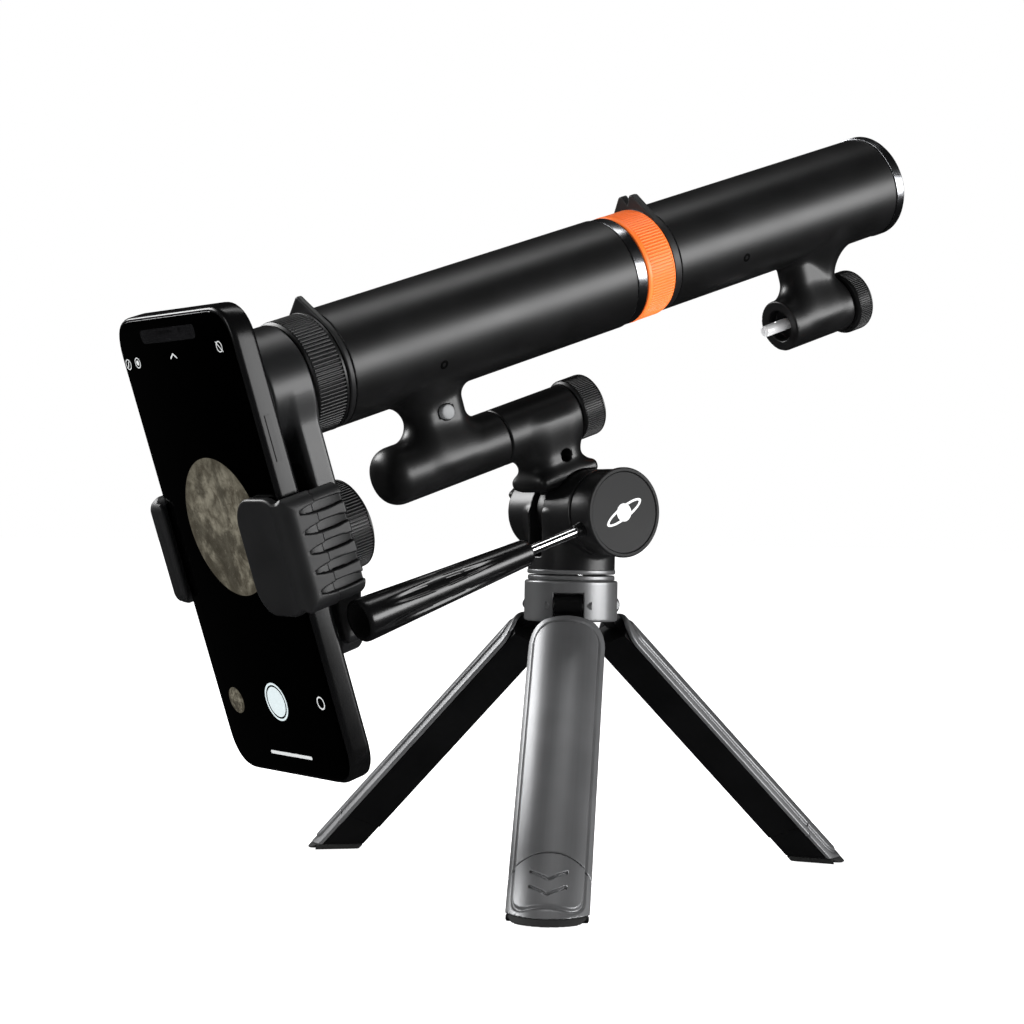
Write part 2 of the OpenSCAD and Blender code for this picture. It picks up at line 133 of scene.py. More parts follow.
def new_piece(name, points, faces, place, normals=None):
    """A piece from points in its place's frame. Its points also keep their place there, for its finish."""
    mesh = bpy.data.meshes.new(name)
    points = np.asarray(points, float)
    mesh.from_pydata(place.out(points).tolist(), [], faces)
    mesh.update()
    if normals is None:
        work = bmesh.new()
        work.from_mesh(mesh)
        bmesh.ops.recalc_face_normals(work, faces=work.faces)
        work.to_mesh(mesh)
        work.free()
    mesh.shade_smooth()
    if normals is None:
        mesh.set_sharp_from_angle(angle=math.radians(35))
    else:
        mesh.normals_split_custom_set_from_vertices((normals @ place.axes).tolist())
    local = mesh.attributes.new("local", "FLOAT_VECTOR", "POINT")
    local.data.foreach_set("vector", (points * MM).ravel())
    return put(name, mesh)


def settle(piece, finish, body, slot, *nodes):
    """Gives a piece its finish and body, and hides the CAD nodes that it stands for; the slot is not used."""
    piece.data.materials.clear()
    piece.data.materials.append(finish)
    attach(piece, body)
    if nodes:
        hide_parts(*nodes)
    return piece


def join(piece, *others):
    """Takes the other pieces' meshes into the first one."""
    work = bmesh.new()
    for each in (piece, *others):
        work.from_mesh(each.data)
    work.to_mesh(piece.data)
    work.free()
    for other in others:
        bpy.data.objects.remove(other)
    return piece


def soften(points, radius, steps=4):
    """An outline with its corners rounded; a point may carry its own radius as a third number."""
    flat = [np.array(p[:2], float) for p in points]
    count, out = len(flat), []
    for i, corner in enumerate(flat):
        size = points[i][2] if len(points[i]) > 2 else radius
        if size == 0:
            out.append(tuple(corner))
            continue
        back, on = flat[i - 1] - corner, flat[(i + 1) % count] - corner
        back_len, on_len = np.linalg.norm(back), np.linalg.norm(on)
        turn = math.acos(np.clip(back @ on / back_len / on_len, -1, 1))
        trim = min(size / math.tan(turn / 2), 0.48 * back_len, 0.48 * on_len)
        start, end = corner + back / back_len * trim, corner + on / on_len * trim
        for k in range(steps + 1):
            t = k / steps
            out.append(tuple((1 - t) ** 2 * start + 2 * t * (1 - t) * corner + t * t * end))
    return out


def turned(name, place, outline, centre=(0, 0), sides=160, closed=True, shape=None):
    """A turned solid along the place's second axis, from (station, radius) pairs; shape may vary it."""
    angles = np.arange(sides) * 2 * math.pi / sides
    points, rows = [], []
    for s, r in outline:
        if r < 1e-6:
            rows.append([len(points)] * sides)
            points.append((centre[0], s, centre[1]))
            continue
        rows.append(range(len(points), len(points) + sides))
        radii = shape(s, r, angles) if shape else np.full(sides, r)
        across, up = centre[0] + np.sin(angles) * radii, centre[1] + np.cos(angles) * radii
        points += zip(across, np.full(sides, s), up)
    faces = []
    for a, b in zip(rows, [*rows[1:], rows[0]] if closed else rows[1:]):
        for i in range(sides):
            j = (i + 1) % sides
            corners = list(dict.fromkeys((a[i], b[i], b[j], a[j])))
            if len(corners) > 2:
                faces.append(corners)
    return new_piece(name, points, faces, place)


def ring_outline(s0, s1, outer, inner, chamfer):
    """Outline of a ring, with its two outer edges cut back by a chamfer."""
    return soften([(s0, inner, 0.1), (s0, outer - chamfer), (s0 + chamfer, outer), (s1 - chamfer, outer),
                   (s1, outer - chamfer), (s1, inner, 0.1)], 0.3)


def slab(name, place, outline, profile, level):
    """A flat solid across the second axis: the outline, drawn in at each (depth, inset) of its profile."""
    flat = np.array(outline, float)
    span_x, span_y = np.ptp(flat, axis=0) / 2
    middle = (flat.max(0) + flat.min(0)) / 2
    points, count = [], len(flat)
    for depth, inset in profile:
        scale = np.array([(span_x - inset) / span_x, (span_y - inset) / span_y])
        for x, z in middle + (flat - middle) * scale:
            points.append((x, level + depth, z))
    faces = [list(range(count)), list(range(count * (len(profile) - 1), count * len(profile)))]
    for k in range(len(profile) - 1):
        for i in range(count):
            j = (i + 1) % count
            faces.append([k * count + i, k * count + j, (k + 1) * count + j, (k + 1) * count + i])
    return new_piece(name, points, faces, place)


def box_outline(w, h, r, x=0, z=0, steps=10):
    """Outline of a rectangle with round corners."""
    return soften([(x + a * w / 2, z + b * h / 2) for a, b in SQUARE], r, steps=steps)


def circle_outline(r, x=0, z=0, sides=64):
    """Outline of a circle."""
    turns = [2 * math.pi * i / sides for i in range(sides)]
    return [(x + r * math.cos(t), z + r * math.sin(t)) for t in turns]


# ---------------------------------------------------------------- distance fields

def corner(a, b, soft):
    """Where both distances hold, with a round edge between them."""
    a, b = a + soft, b + soft
    return np.minimum(np.maximum(a, b), 0) + np.hypot(np.maximum(a, 0), np.maximum(b, 0)) - soft


def cut(a, b, soft):
    """The first solid without the second, with a round edge."""
    return corner(a, -b, soft)


def weld(a, b, fillet):
    """Both solids together, with a round fillet where they meet."""
    inside = np.hypot(np.maximum(fillet - a, 0), np.maximum(fillet - b, 0))
    return np.maximum(fillet, np.minimum(a, b)) - inside


def between(value, low, high):
    """Distance outside a span."""
    return np.abs(value - (low + high) / 2) - (high - low) / 2


def rod(p, axis, centre, r, low, high, soft=0.4):
    """Round bar along one axis of the frame; centre holds the two other coordinates in order."""
    a, b = [k for k in range(3) if k != axis]
    return corner(np.hypot(p[a] - centre[0], p[b] - centre[1]) - r, between(p[axis], low, high), soft)


def block(p, low, high, soft):
    """Box with round edges."""
    q = [between(p[k], low[k], high[k]) + soft for k in range(3)]
    outside = np.sqrt(sum(np.maximum(k, 0) ** 2 for k in q))
    return outside + np.minimum(np.maximum(np.maximum(q[0], q[1]), q[2]), 0) - soft


def column(p, s, half, x, low, high):
    """Upright column with round ends, longer along the second axis."""
    along = np.maximum(np.abs(p[1] - s) - (half - x), 0)
    return corner(np.hypot(p[0], along) - x, between(p[2], low, high), 0.4)


def smooth(value, low, high):
    """0 below low, 1 above high, and a soft step between them."""
    t = np.clip((value - low) / (high - low), 0, 1)
    return t * t * (3 - 2 * t)


def grid(*spans):
    """Stations along one axis: each span is (low, high, step)."""
    rows = [np.linspace(low, high, max(2, round((high - low) / step) + 1)) for low, high, step in spans]
    return np.unique(np.round(np.concatenate(rows), 5))


def moulded(name, place, field, xs, ys, zs):
    """A closed mesh of the surface where the field is zero, with points and normals from the field."""
    axes = (xs, ys, zs)
    f = field(np.meshgrid(*axes, indexing="ij", sparse=True))
    f = np.broadcast_to(f, [len(a) for a in axes]).copy()
    for k in range(3):
        np.moveaxis(f, k, 0)[[0, -1]] = 1
    total, count = np.zeros([n - 1 for n in f.shape] + [3]), np.zeros([n - 1 for n in f.shape])
    quads = []
    for a in range(3):
        b, c = (a + 1) % 3, (a + 2) % 3
        f0, f1 = np.moveaxis(f, a, 0)[:-1], np.moveaxis(f, a, 0)[1:]
        hits = np.nonzero((f0 < 0) != (f1 < 0))
        at = np.stack(hits, 1)
        order = [a] + [k for k in range(3) if k != a]
        index = np.empty_like(at)
        for k, axis in enumerate(order):
            index[:, axis] = at[:, k]
        v0, v1 = f0[hits], f1[hits]
        spot = np.stack([axes[k][index[:, k]] for k in range(3)], 1)
        spot[:, a] += v0 / (v0 - v1) * (axes[a][index[:, a] + 1] - axes[a][index[:, a]])
        cells = []
        for db, dc in ((0, 0), (-1, 0), (-1, -1), (0, -1)):
            cell = index.copy()
            cell[:, b] += db
            cell[:, c] += dc
            np.add.at(total, tuple(cell.T), spot)
            np.add.at(count, tuple(cell.T), 1)
            cells.append(np.ravel_multi_index(tuple(cell.T), count.shape))
        quad = np.stack(cells, 1)
        quads.append(np.where((v0 < 0)[:, None], quad, quad[:, ::-1]))
    used = np.flatnonzero(count.ravel())
    number = np.full(count.size, -1)
    number[used] = np.arange(len(used))
    points = total.reshape(-1, 3)[used] / count.ravel()[used, None]
    reach = min(float(np.diff(a).max()) for a in axes)

    def slope(p, h=0.02):
        rise = []
        for k in range(3):
            step = np.zeros(3)
            step[k] = h
            rise.append((field((p + step).T) - field((p - step).T)) / (2 * h))
        return np.stack(rise, 1)

    for _ in range(4):
        rise = slope(points)
        push = (field(points.T) / np.maximum((rise ** 2).sum(1), 0.05))[:, None] * rise
        length = np.maximum(np.linalg.norm(push, axis=1, keepdims=True), 1e-9)
        points -= push * np.minimum(1, reach / length)
    normals = slope(points)
    normals /= np.maximum(np.linalg.norm(normals, axis=1, keepdims=True), 1e-9)
    return new_piece(name, points, number[np.concatenate(quads)].tolist(), place, normals)


# ---------------------------------------------------------------- node trees

class Value:
    """A socket that does sums: an expression on values adds its Math nodes."""

    def __init__(self, graph, socket):
        self.graph = graph
        self.socket = socket

    def sum(self, operation, *others):
        return self.graph.node("ShaderNodeMath", {"operation": operation}, dict(enumerate((self, *others))))

    def __add__(self, other):
        return self.sum("ADD", other)

    def __sub__(self, other):
        return self.sum("SUBTRACT", other)

    def __rsub__(self, other):
        return self * -1 + other

    def __mul__(self, other):
        return self.sum("MULTIPLY", other)

    __radd__, __rmul__ = __add__, __mul__

    def other(self, name):
        """Another output of the same node."""
        return Value(self.graph, self.socket.node.outputs[name])


class Graph:
    """A node tree, and the one way that nodes are added to it."""

    def __init__(self, tree):
        self.tree = tree

    def node(self, kind, settings=None, inputs=None, out=0):
        node = self.tree.nodes.new(kind)
        for key, value in (settings or {}).items():
            if key == "stops":
                ramp = node.color_ramp
                while len(ramp.elements) < len(value):
                    ramp.elements.new(0.5)
                for element, (position, colour) in zip(ramp.elements, value):
                    element.position = position
                    element.color = (*colour, 1)
            else:
                setattr(node, key, value)
        for key, value in (inputs or {}).items():
            socket = node.inputs[key]
            if isinstance(value, Value):
                self.tree.links.new(value.socket, socket)
            else:
                socket.default_value = value
        return Value(self, node.outputs[out]) if node.outputs else None


class Finish(Graph):
    """A material: patterns on the piece's own coordinates, and one principled surface."""

    def __init__(self, name, own=False):
        self.material = bpy.data.materials.new(name)
        self.material.use_nodes = True
        super().__init__(self.material.node_tree)
        self.tree.nodes.clear()
        if own:
            self.place = self.node("ShaderNodeAttribute", {"attribute_name": "local"}, out="Vector")
        else:
            self.place = self.node("ShaderNodeTexCoord", out="Object")

    def noise(self, scale, detail=3.0, stretch=None, rough=0.5):
        """Noise from 0 to 1; stretch gives a scale for each axis."""
        place = self.place
        if stretch:
            place = self.node("ShaderNodeMapping", None, {"Vector": place, "Scale": stretch})
        return self.node("ShaderNodeTexNoise", None,
                         {"Vector": place, "Scale": scale, "Detail": detail, "Roughness": rough})

    def span(self, value, low, high, to_low=0.0, to_high=1.0):
        """Takes a value's span to another one, with a soft step."""
        return self.node("ShaderNodeMapRange", {"interpolation_type": "SMOOTHSTEP"},
                         {"Value": value, 1: low, 2: high, 3: to_low, 4: to_high})

    def mix(self, mask, low, high):
        """Colour between two colours."""
        low, high = [c if isinstance(c, Value) else (*c, 1) for c in (low, high)]
        return self.node("ShaderNodeMix", {"data_type": "RGBA"}, {0: mask, 6: low, 7: high}, out=2)

    def surface(self, height=None, depth=0.0, **values):
        """Ends the material: a value for each principled socket, and a height for its bump, in metres."""
        inputs = {key.replace("_", " "): value for key, value in values.items()}
        if height is not None:
            bump = {"Strength": 1.0, "Distance": depth, "Height": height}
            inputs["Normal"] = self.node("ShaderNodeBump", None, bump)
        shader = self.node("ShaderNodeBsdfPrincipled", None, inputs)
        self.node("ShaderNodeOutputMaterial", None, {"Surface": shader})
        return self.material


def satin(name, colour, rough, grain=2600, depth=1.2e-5, wear=0.10, **more):
    """Moulded or coated black: fine grain, slow change of gloss, and faint scuffs where it is handled."""
    f = Finish(name)
    fine = f.noise(grain, 4.0)
    slow = f.noise(55, 3.0)
    scuff = f.span(f.noise(420, 6.0, rough=0.72), 0.60, 0.78)
    shade = f.mix(f.span(slow, 0.3, 0.7), [c * 0.82 for c in colour], [c * 1.18 for c in colour])
    shade = f.mix(scuff * wear, shade, [min(1, c * 2.4 + 0.02) for c in colour])
    return f.surface(fine, depth, Base_Color=shade,
                     Roughness=rough + (slow - 0.5) * 0.09 + (fine - 0.5) * 0.06 + scuff * 0.05, **more)


def brushed(name, colour, rough, along=(1, 1, 0.02)):
    """Lacquered gunmetal with a faint lengthwise brushing."""
    f = Finish(name, own=True)
    lines = f.noise(5200, 3.0, stretch=along)
    broad = f.noise(900, 2.0, stretch=along)
    slow = f.noise(38, 3.0)
    shade = f.mix(f.span(slow, 0.3, 0.7), [c * 0.9 for c in colour], [c * 1.1 for c in colour])
    shade = f.mix(f.span(broad, 0.35, 0.65) * 0.12, shade, [c * 1.25 for c in colour])
    return f.surface(lines, 0.25e-5, Base_Color=shade, Metallic=0.75,
                     Roughness=rough + (lines - 0.5) * 0.05 + (slow - 0.5) * 0.05)


def polished(name, colour, rough, metal=1.0):
    """Bright or dark chrome, with faint turning lines and finger marks."""
    f = Finish(name)
    marks = f.span(f.noise(140, 4.0, rough=0.6), 0.5, 0.75)
    fine = f.noise(3600, 2.0)
    shade = f.mix(marks * 0.5, colour, [c * 0.82 for c in colour])
    return f.surface(fine, 1.5e-6, Base_Color=shade, Metallic=metal,
                     Roughness=rough + marks * 0.05 + (fine - 0.5) * 0.03)


def rubber(name, colour):
    """Dull moulded rubber."""
    f = Finish(name)
    grain = f.noise(1500, 5.0, rough=0.7)
    shade = f.mix(f.span(grain, 0.35, 0.65), colour, [c * 1.6 for c in colour])
    return f.surface(grain, 4e-5, Base_Color=shade, Roughness=0.78 + (grain - 0.5) * 0.15)


def coloured(name, colour, rough):
    """Dyed plastic with a fine texture and a slow change of shade."""
    f = Finish(name)
    fine = f.noise(2400, 4.0)
    slow = f.noise(90, 3.0)
    shade = f.mix(f.span(slow, 0.3, 0.7), [c * 0.93 for c in colour], [min(1, c * 1.05) for c in colour])
    return f.surface(fine, 8e-6, Base_Color=shade, Roughness=rough + (slow - 0.5) * 0.08)


def optical(name, tint):
    """Coated lens glass."""
    f = Finish(name)
    haze = f.span(f.noise(120, 3.0), 0.45, 0.8)
    shade = f.mix(haze, tint, [min(1, c * 1.08) for c in tint])
    return f.surface(Base_Color=shade, Roughness=haze * 0.02 + 0.02, Transmission_Weight=0.9, IOR=1.52,
                     Coat_Weight=0.6, Coat_Tint=(0.55, 0.75, 1.0, 1))


def lit(name, colour, strength):
    """Lit strokes and discs of the display."""
    f = Finish(name)
    dots = f.noise(5200, 1.0)
    shade = f.mix(dots * 0.12, colour, [c * 0.85 for c in colour])
    return f.surface(Base_Color=shade, Emission_Color=shade, Emission_Strength=strength, Roughness=0.12)


def moon(name, centre, radius):
    """Full moon on the display: pale ground, dark seas, bright craters and a darker limb."""
    f = Finish(name, own=True)
    shift = f.node("ShaderNodeMapping", None, {
        "Vector": f.place, "Location": [-k / radius for k in centre], "Scale": [1 / (radius * MM)] * 3})

    def cloud(scale, detail, rough):
        return f.node("ShaderNodeTexNoise", None, {
            "Vector": shift, "Scale": scale, "Detail": detail, "Roughness": rough, "Distortion": 0.35})

    seas = f.span(cloud(1.3, 5.0, 0.6), 0.46, 0.58)
    mottle = cloud(3.4, 9.0, 0.68)
    rays = f.span(cloud(9.0, 6.0, 0.7), 0.58, 0.74)
    pits = f.node("ShaderNodeTexVoronoi", {"feature": "F1"}, {"Vector": shift, "Scale": 7.5}, out="Distance")
    floors = f.span(pits, 0.06, 0.16, 1.0, 0.0)
    ground = f.mix(f.span(mottle, 0.32, 0.70), (0.075, 0.064, 0.045), (0.33, 0.305, 0.235))
    ground = f.mix(seas * 0.8, ground, (0.045, 0.039, 0.027))
    ground = f.mix(rays * 0.45, ground, (0.50, 0.46, 0.37))
    ground = f.mix(floors * 0.35, ground, (0.07, 0.06, 0.043))
    limb = f.node("ShaderNodeVectorMath", {"operation": "LENGTH"}, {0: shift}, out="Value")
    ground = f.mix(f.span(limb, 0.72, 1.02) * 0.55, ground, (0.06, 0.052, 0.035))
    shade = f.mix(limb * 0.2, (0.004, 0.004, 0.004), (0.002, 0.002, 0.002))
    return f.surface(Base_Color=shade, Emission_Color=ground, Emission_Strength=0.75, Roughness=0.14)


# ---------------------------------------------------------------- finishes

tube_black = satin("tube_black", (0.0035, 0.0035, 0.0037), 0.38, depth=6e-6)
head_black = satin("head_black", (0.0045, 0.0045, 0.0048), 0.34)
knob_black = satin("knob_black", (0.003, 0.003, 0.0032), 0.38)
grip_black = satin("grip_black", (0.003, 0.003, 0.0032), 0.24, depth=2e-6)
sight_black = satin("sight_black", (0.006, 0.006, 0.0065), 0.45)
screw_black = satin("screw_black", (0.0008, 0.0008, 0.0008), 0.6, wear=0.0, Specular_IOR_Level=0.05)
inner_black = satin("inner_black", (0.003, 0.003, 0.003), 0.7)
leg_black = satin("leg_black", (0.002, 0.002, 0.0022), 0.42, Specular_IOR_Level=0.25)
adapter_grey = satin("adapter_grey", (0.009, 0.0092, 0.0098), 0.36, depth=6e-6)
jaw_grey = satin("jaw_grey", (0.0055, 0.0056, 0.006), 0.44, grain=3600, depth=2e-5, Specular_IOR_Level=0.4)
phone_frame = satin("phone_frame", (0.0025, 0.0025, 0.0027), 0.22, depth=2e-6, Specular_IOR_Level=0.2)
button_grey = satin("button_grey", (0.20, 0.205, 0.21), 0.45, wear=0.0)
cap_grey = satin("cap_grey", (0.006, 0.0061, 0.0064), 0.50, depth=8e-6, Specular_IOR_Level=0.22)
leg_grey = brushed("leg_grey", (0.215, 0.217, 0.222), 0.42)
collar_grey = brushed("collar_grey", (0.21, 0.212, 0.216), 0.36, along=(0.02, 0.02, 1))
dark_chrome = polished("dark_chrome", (0.33, 0.335, 0.35), 0.20)
bright_chrome = polished("bright_chrome", (0.92, 0.92, 0.93), 0.16)
stud_nickel = polished("stud_nickel", (0.90, 0.90, 0.91), 0.28, metal=0.4)
sole_rubber = rubber("sole_rubber", (0.006, 0.006, 0.006))
focus_orange = coloured("focus_orange", (0.98, 0.175, 0.018), 0.40)
emblem_white = coloured("emblem_white", (0.72, 0.72, 0.72), 0.5)
lens_glass = optical("lens_glass", (0.80, 0.86, 0.96))
screen_glass = polished("screen_glass", (0.003, 0.003, 0.0034), 0.10)
notch_black = satin("notch_black", (0.004, 0.004, 0.0045), 0.25, depth=1e-6, wear=0.0)
icon_white = lit("icon_white", (0.42, 0.43, 0.43), 0.25)
shutter_grey = lit("shutter_grey", (0.40, 0.45, 0.46), 0.40)


def dress(finish, *nodes):
    """Gives CAD nodes whose shape is right a finish of their own."""
    for node in nodes:
        thing = frame["nodes"][node]
        if not thing.material_slots:
            thing.data.materials.append(finish)
        for slot in thing.material_slots:
            slot.material = finish


# ---------------------------------------------------------------- ribs

def rib_tree():
    """Straight ribs set round an axis: one round bar on each point of a circle."""
    tree = bpy.data.node_groups.new("ribs_round_an_axis", "GeometryNodeTree")
    tree.interface.new_socket("Count", in_out="INPUT", socket_type="NodeSocketInt")
    for size in ("Radius", "Length", "Width"):
        tree.interface.new_socket(size, in_out="INPUT", socket_type="NodeSocketFloat")
    tree.interface.new_socket("Finish", in_out="INPUT", socket_type="NodeSocketMaterial")
    tree.interface.new_socket("Geometry", in_out="OUTPUT", socket_type="NodeSocketGeometry")
    g = Graph(tree)
    sizes = g.node("NodeGroupInput")
    circle = g.node("GeometryNodeMeshCircle", None,
                    {"Vertices": sizes.other("Count"), "Radius": sizes.other("Radius")})
    bar = g.node("GeometryNodeMeshCylinder", None,
                 {"Vertices": 8, "Radius": sizes.other("Width"), "Depth": sizes.other("Length")})
    bars = g.node("GeometryNodeInstanceOnPoints", None, {"Points": circle, "Instance": bar})
    made = g.node("GeometryNodeRealizeInstances", None, {"Geometry": bars})
    made = g.node("GeometryNodeSetMaterial", None, {"Geometry": made, "Material": sizes.other("Finish")})
    g.node("NodeGroupOutput", None, {"Geometry": made})
    return tree


RIBS = rib_tree()


def ribs(name, place, centre, count, radius, length, width, finish):
    """The ribs of a grip ring or knob, along the place's second axis, as a plain mesh."""
    maker = put(name + "_maker", bpy.data.meshes.new(name + "_maker"))
    sizes = {"Count": count, "Radius": radius * MM, "Length": length * MM, "Width": width * MM,
             "Finish": finish}
    modifier = maker.modifiers.new("ribs", "NODES")
    modifier.node_group = RIBS
    for item in RIBS.interface.items_tree:
        if item.in_out == "INPUT":
            modifier[item.identifier] = sizes[item.name]
    mesh = bpy.data.meshes.new_from_object(maker.evaluated_get(bpy.context.evaluated_depsgraph_get()))
    bpy.data.objects.remove(maker)
    mesh.transform(place.matrix(centre))
    mesh.shade_smooth()
    mesh.set_sharp_from_angle(angle=math.radians(60))
    return put(name, mesh)


def grip_ring(name, v, outline, low, high, radius, count, width, finish):
    """A turned ring or knob along the tube at height v, with ribs between two stations."""
    base = turned(name, TUBE, outline, (0, v))
    centre = (0, (low + high) / 2, v)
    return join(base, ribs(name + "_ribs", TUBE, centre, count, radius, high - low, width, finish))


# ---------------------------------------------------------------- tubes and stems

def middle(node):
    """Middle of a CAD node's box in the tube's frame."""
    low, high = TUBE.span(node)
    return (low + high) / 2


def stations(node):
    """Where a CAD node starts and ends along the tube."""
    return [end[1] for end in TUBE.span(node)]


def facing(point, out):
    """A frame at a point of the tube's frame, with its second axis outwards."""
    return Place(TUBE.out(point) / MM, AHEAD, out, np.cross(AHEAD, out))


REAR_R = TUBE.span("rear_tube")[1][0]
FRONT_R = TUBE.span("front_tube")[1][0]
WALL = 1.6
# The two stems under the tubes: heights of their axes, radii, and the half length and half width of a neck
STEM_V = middle("adaptor_knob")[2]
FRONT_V = middle("front_knob")[2]
STEM_R = 9.2
FRONT_STEM_R = 8.9
NECK_HALF, NECK_X = 10.5, 6.5
NECK_TOP = -14


def with_bore(f, p, r, low, high):
    """The solid with a round bore along the tube."""
    return cut(f, corner(np.hypot(p[0], p[2]) - r, between(p[1], low, high), 0), 0.1)


def tube_grid(s0, s1):
    """Stations along a tube, closer together at its two ends."""
    return grid((s0 - 0.8, s0 + 1.2, 0.5), (s0 + 1.2, s1 - 1, 0.95), (s1 - 1, s1 + 0.8, 0.5))


def rear_moulding():
    """Rear tube with the neck and the domed stem under it."""
    s0, s1 = stations("rear_tube")
    dome_start, stem_end = stations("rear_stem")
    dome = 6.4
    neck_s = dome_start + 19.2
    button = middle("release_button")

    def field(p):
        tube = corner(np.hypot(p[0], p[2]) - REAR_R, between(p[1], s0, s1), 0.2)
        behind = np.maximum(dome_start - p[1], 0) / dome
        round_end = (np.hypot(p[0], p[2] - STEM_V) / STEM_R) ** 3.33 + behind ** 2
        stem = corner(STEM_R * (round_end ** 0.3 - 1), p[1] - stem_end, 0.6)
        neck = column(p, neck_s, NECK_HALF, NECK_X, STEM_V, NECK_TOP)
        ahead = smooth(p[1], neck_s - 5, neck_s + 5)
        f = weld(weld(tube, neck, 6.5 - 2.5 * ahead), stem, 5.5 - 1.5 * ahead)
        f = cut(f, rod(p, 0, (button[1], button[2]), 2.55, 3.8, 12), 0.12)
        return with_bore(f, p, REAR_R - WALL, s0 - 5, s1 + 5)

    piece = moulded("rear_moulding", TUBE, field, grid((-18.8, -9, 0.9), (-9, 9, 0.62), (9, 18.8, 0.9)),
                    tube_grid(s0, s1), grid((-48.5, NECK_TOP, 0.62), (NECK_TOP, 18.8, 0.9)))
    return settle(piece, tube_black, "cradle", "tube_black", "rear_tube", "rear_stem", "stem_cap")


def front_moulding():
    """Front tube with the neck and the stem under it, open at its rear end."""
    s0, s1 = stations("front_tube")
    stem_0, stem_1 = stations("front_stem")
    neck_s = stem_0 + 17.5

    def field(p):
        tube = corner(np.hypot(p[0], p[2]) - FRONT_R, between(p[1], s0, s1), 0.2)
        stem = rod(p, 1, (0, FRONT_V), FRONT_STEM_R, stem_0, stem_1, 0.6)
        neck = column(p, neck_s, NECK_HALF, NECK_X, FRONT_V, NECK_TOP)
        ahead = smooth(p[1], neck_s - 5, neck_s + 8)
        f = weld(weld(tube, neck, 2.2 + 9 * ahead), stem, 5.5 - 1.5 * ahead)
        f = cut(f, rod(p, 1, (0, FRONT_V), 5.4, stem_0 - 4, stem_0 + 4), 0.3)
        return with_bore(f, p, FRONT_R - WALL, s0 - 5, s1 + 5)

    piece = moulded("front_moulding", TUBE, field, grid((-18, -9, 0.9), (-9, 9, 0.62), (9, 18, 0.9)),
                    tube_grid(s0, s1), grid((-46.5, NECK_TOP, 0.62), (NECK_TOP, 18, 0.9)))
    return settle(piece, tube_black, "front", "tube_black", "front_tube", "front_stem")


def teardrop(x, z, r0, r1, h):
    """Distance from the hull of a circle at the origin and a smaller one above it; x is not negative."""
    b = (r0 - r1) / h
    a = math.sqrt(1 - b * b)
    along = a * z - b * x
    above = np.where(along > a * h, np.hypot(x, z - h) - r1, a * x + b * z - r0)
    return np.where(along < 0, np.hypot(x, z) - r0, above)


def rear_sight():
    """Ring at the rear tube's end with one rounded fin."""
    s0, s1 = stations("rear_sight")

    def field(p):
        plate = teardrop(np.abs(p[0]), p[2], REAR_R, 1.3, 21.6)
        return with_bore(corner(plate, between(p[1], s0, s1), 0.55), p, REAR_R - 4, s0 - 5, s1 + 5)

    piece = moulded("rear_sight_ring", TUBE, field, grid((-18.9, 18.9, 0.5)),
                    grid((s0 - 0.5, s1 + 0.5, 0.35)), grid((-18.9, 23.7, 0.5)))
    return settle(piece, sight_black, "cradle", "tube_black", "rear_sight")


def front_sight():
    """Ring at the front tube's rear end with two prongs and a notch between them."""
    s0, s1 = stations("front_sight")
    lean, height = 3.1, 21.3
    h = math.hypot(lean, height)

    def field(p):
        x = np.abs(p[0])
        across, along = (x * height - p[2] * lean) / h, (x * lean + p[2] * height) / h
        prongs = teardrop(np.maximum(across, 0), along, FRONT_R, 0.9, h)
        prongs = corner(prongs, p[2] - 22.4, 0.3)
        prongs = cut(prongs, (x * 3.1 - (p[2] - 19.2) * 2.0) / 3.7, 0.3)
        plate = corner(prongs, between(p[1], s0 + 0.4, s1), 0.4)
        ring = corner(np.hypot(p[0], p[2]) - FRONT_R, between(p[1], s0, s1), 0.3)
        return with_bore(np.minimum(plate, ring), p, 16.0, s0 - 5, s1 + 5)

    piece = moulded("front_sight_ring", TUBE, field, grid((-18.3, -6, 0.7), (-6, 6, 0.35), (6, 18.3, 0.7)),
                    grid((s0 - 0.5, s1 + 0.5, 0.38)), grid((-18.3, 14, 0.7), (14, 23.3, 0.35)))
    return settle(piece, sight_black, "front", "tube_black", "front_sight")


def screws(name, station, r, drop, body, node):
    """Screw heads on both sides of a tube, turned down from level by drop degrees."""
    heads = []
    turn = math.radians(drop)
    outline = [(-0.4, 1.5), (0.02, 1.5), (0.08, 1.3), (0.08, 0.75), (-0.3, 0.25), (-0.3, 0), (-0.4, 0)]
    for side, ending in ((-1, "_left"), (1, "_right")):
        out = RIGHT * side * math.cos(turn) - OVER * math.sin(turn)
        spot = facing((side * r * math.cos(turn), station, -r * math.sin(turn)), out)
        heads.append(turned(name + ending, spot, outline, sides=24))
    return settle(join(*heads), screw_black, body, "screw_black", node)


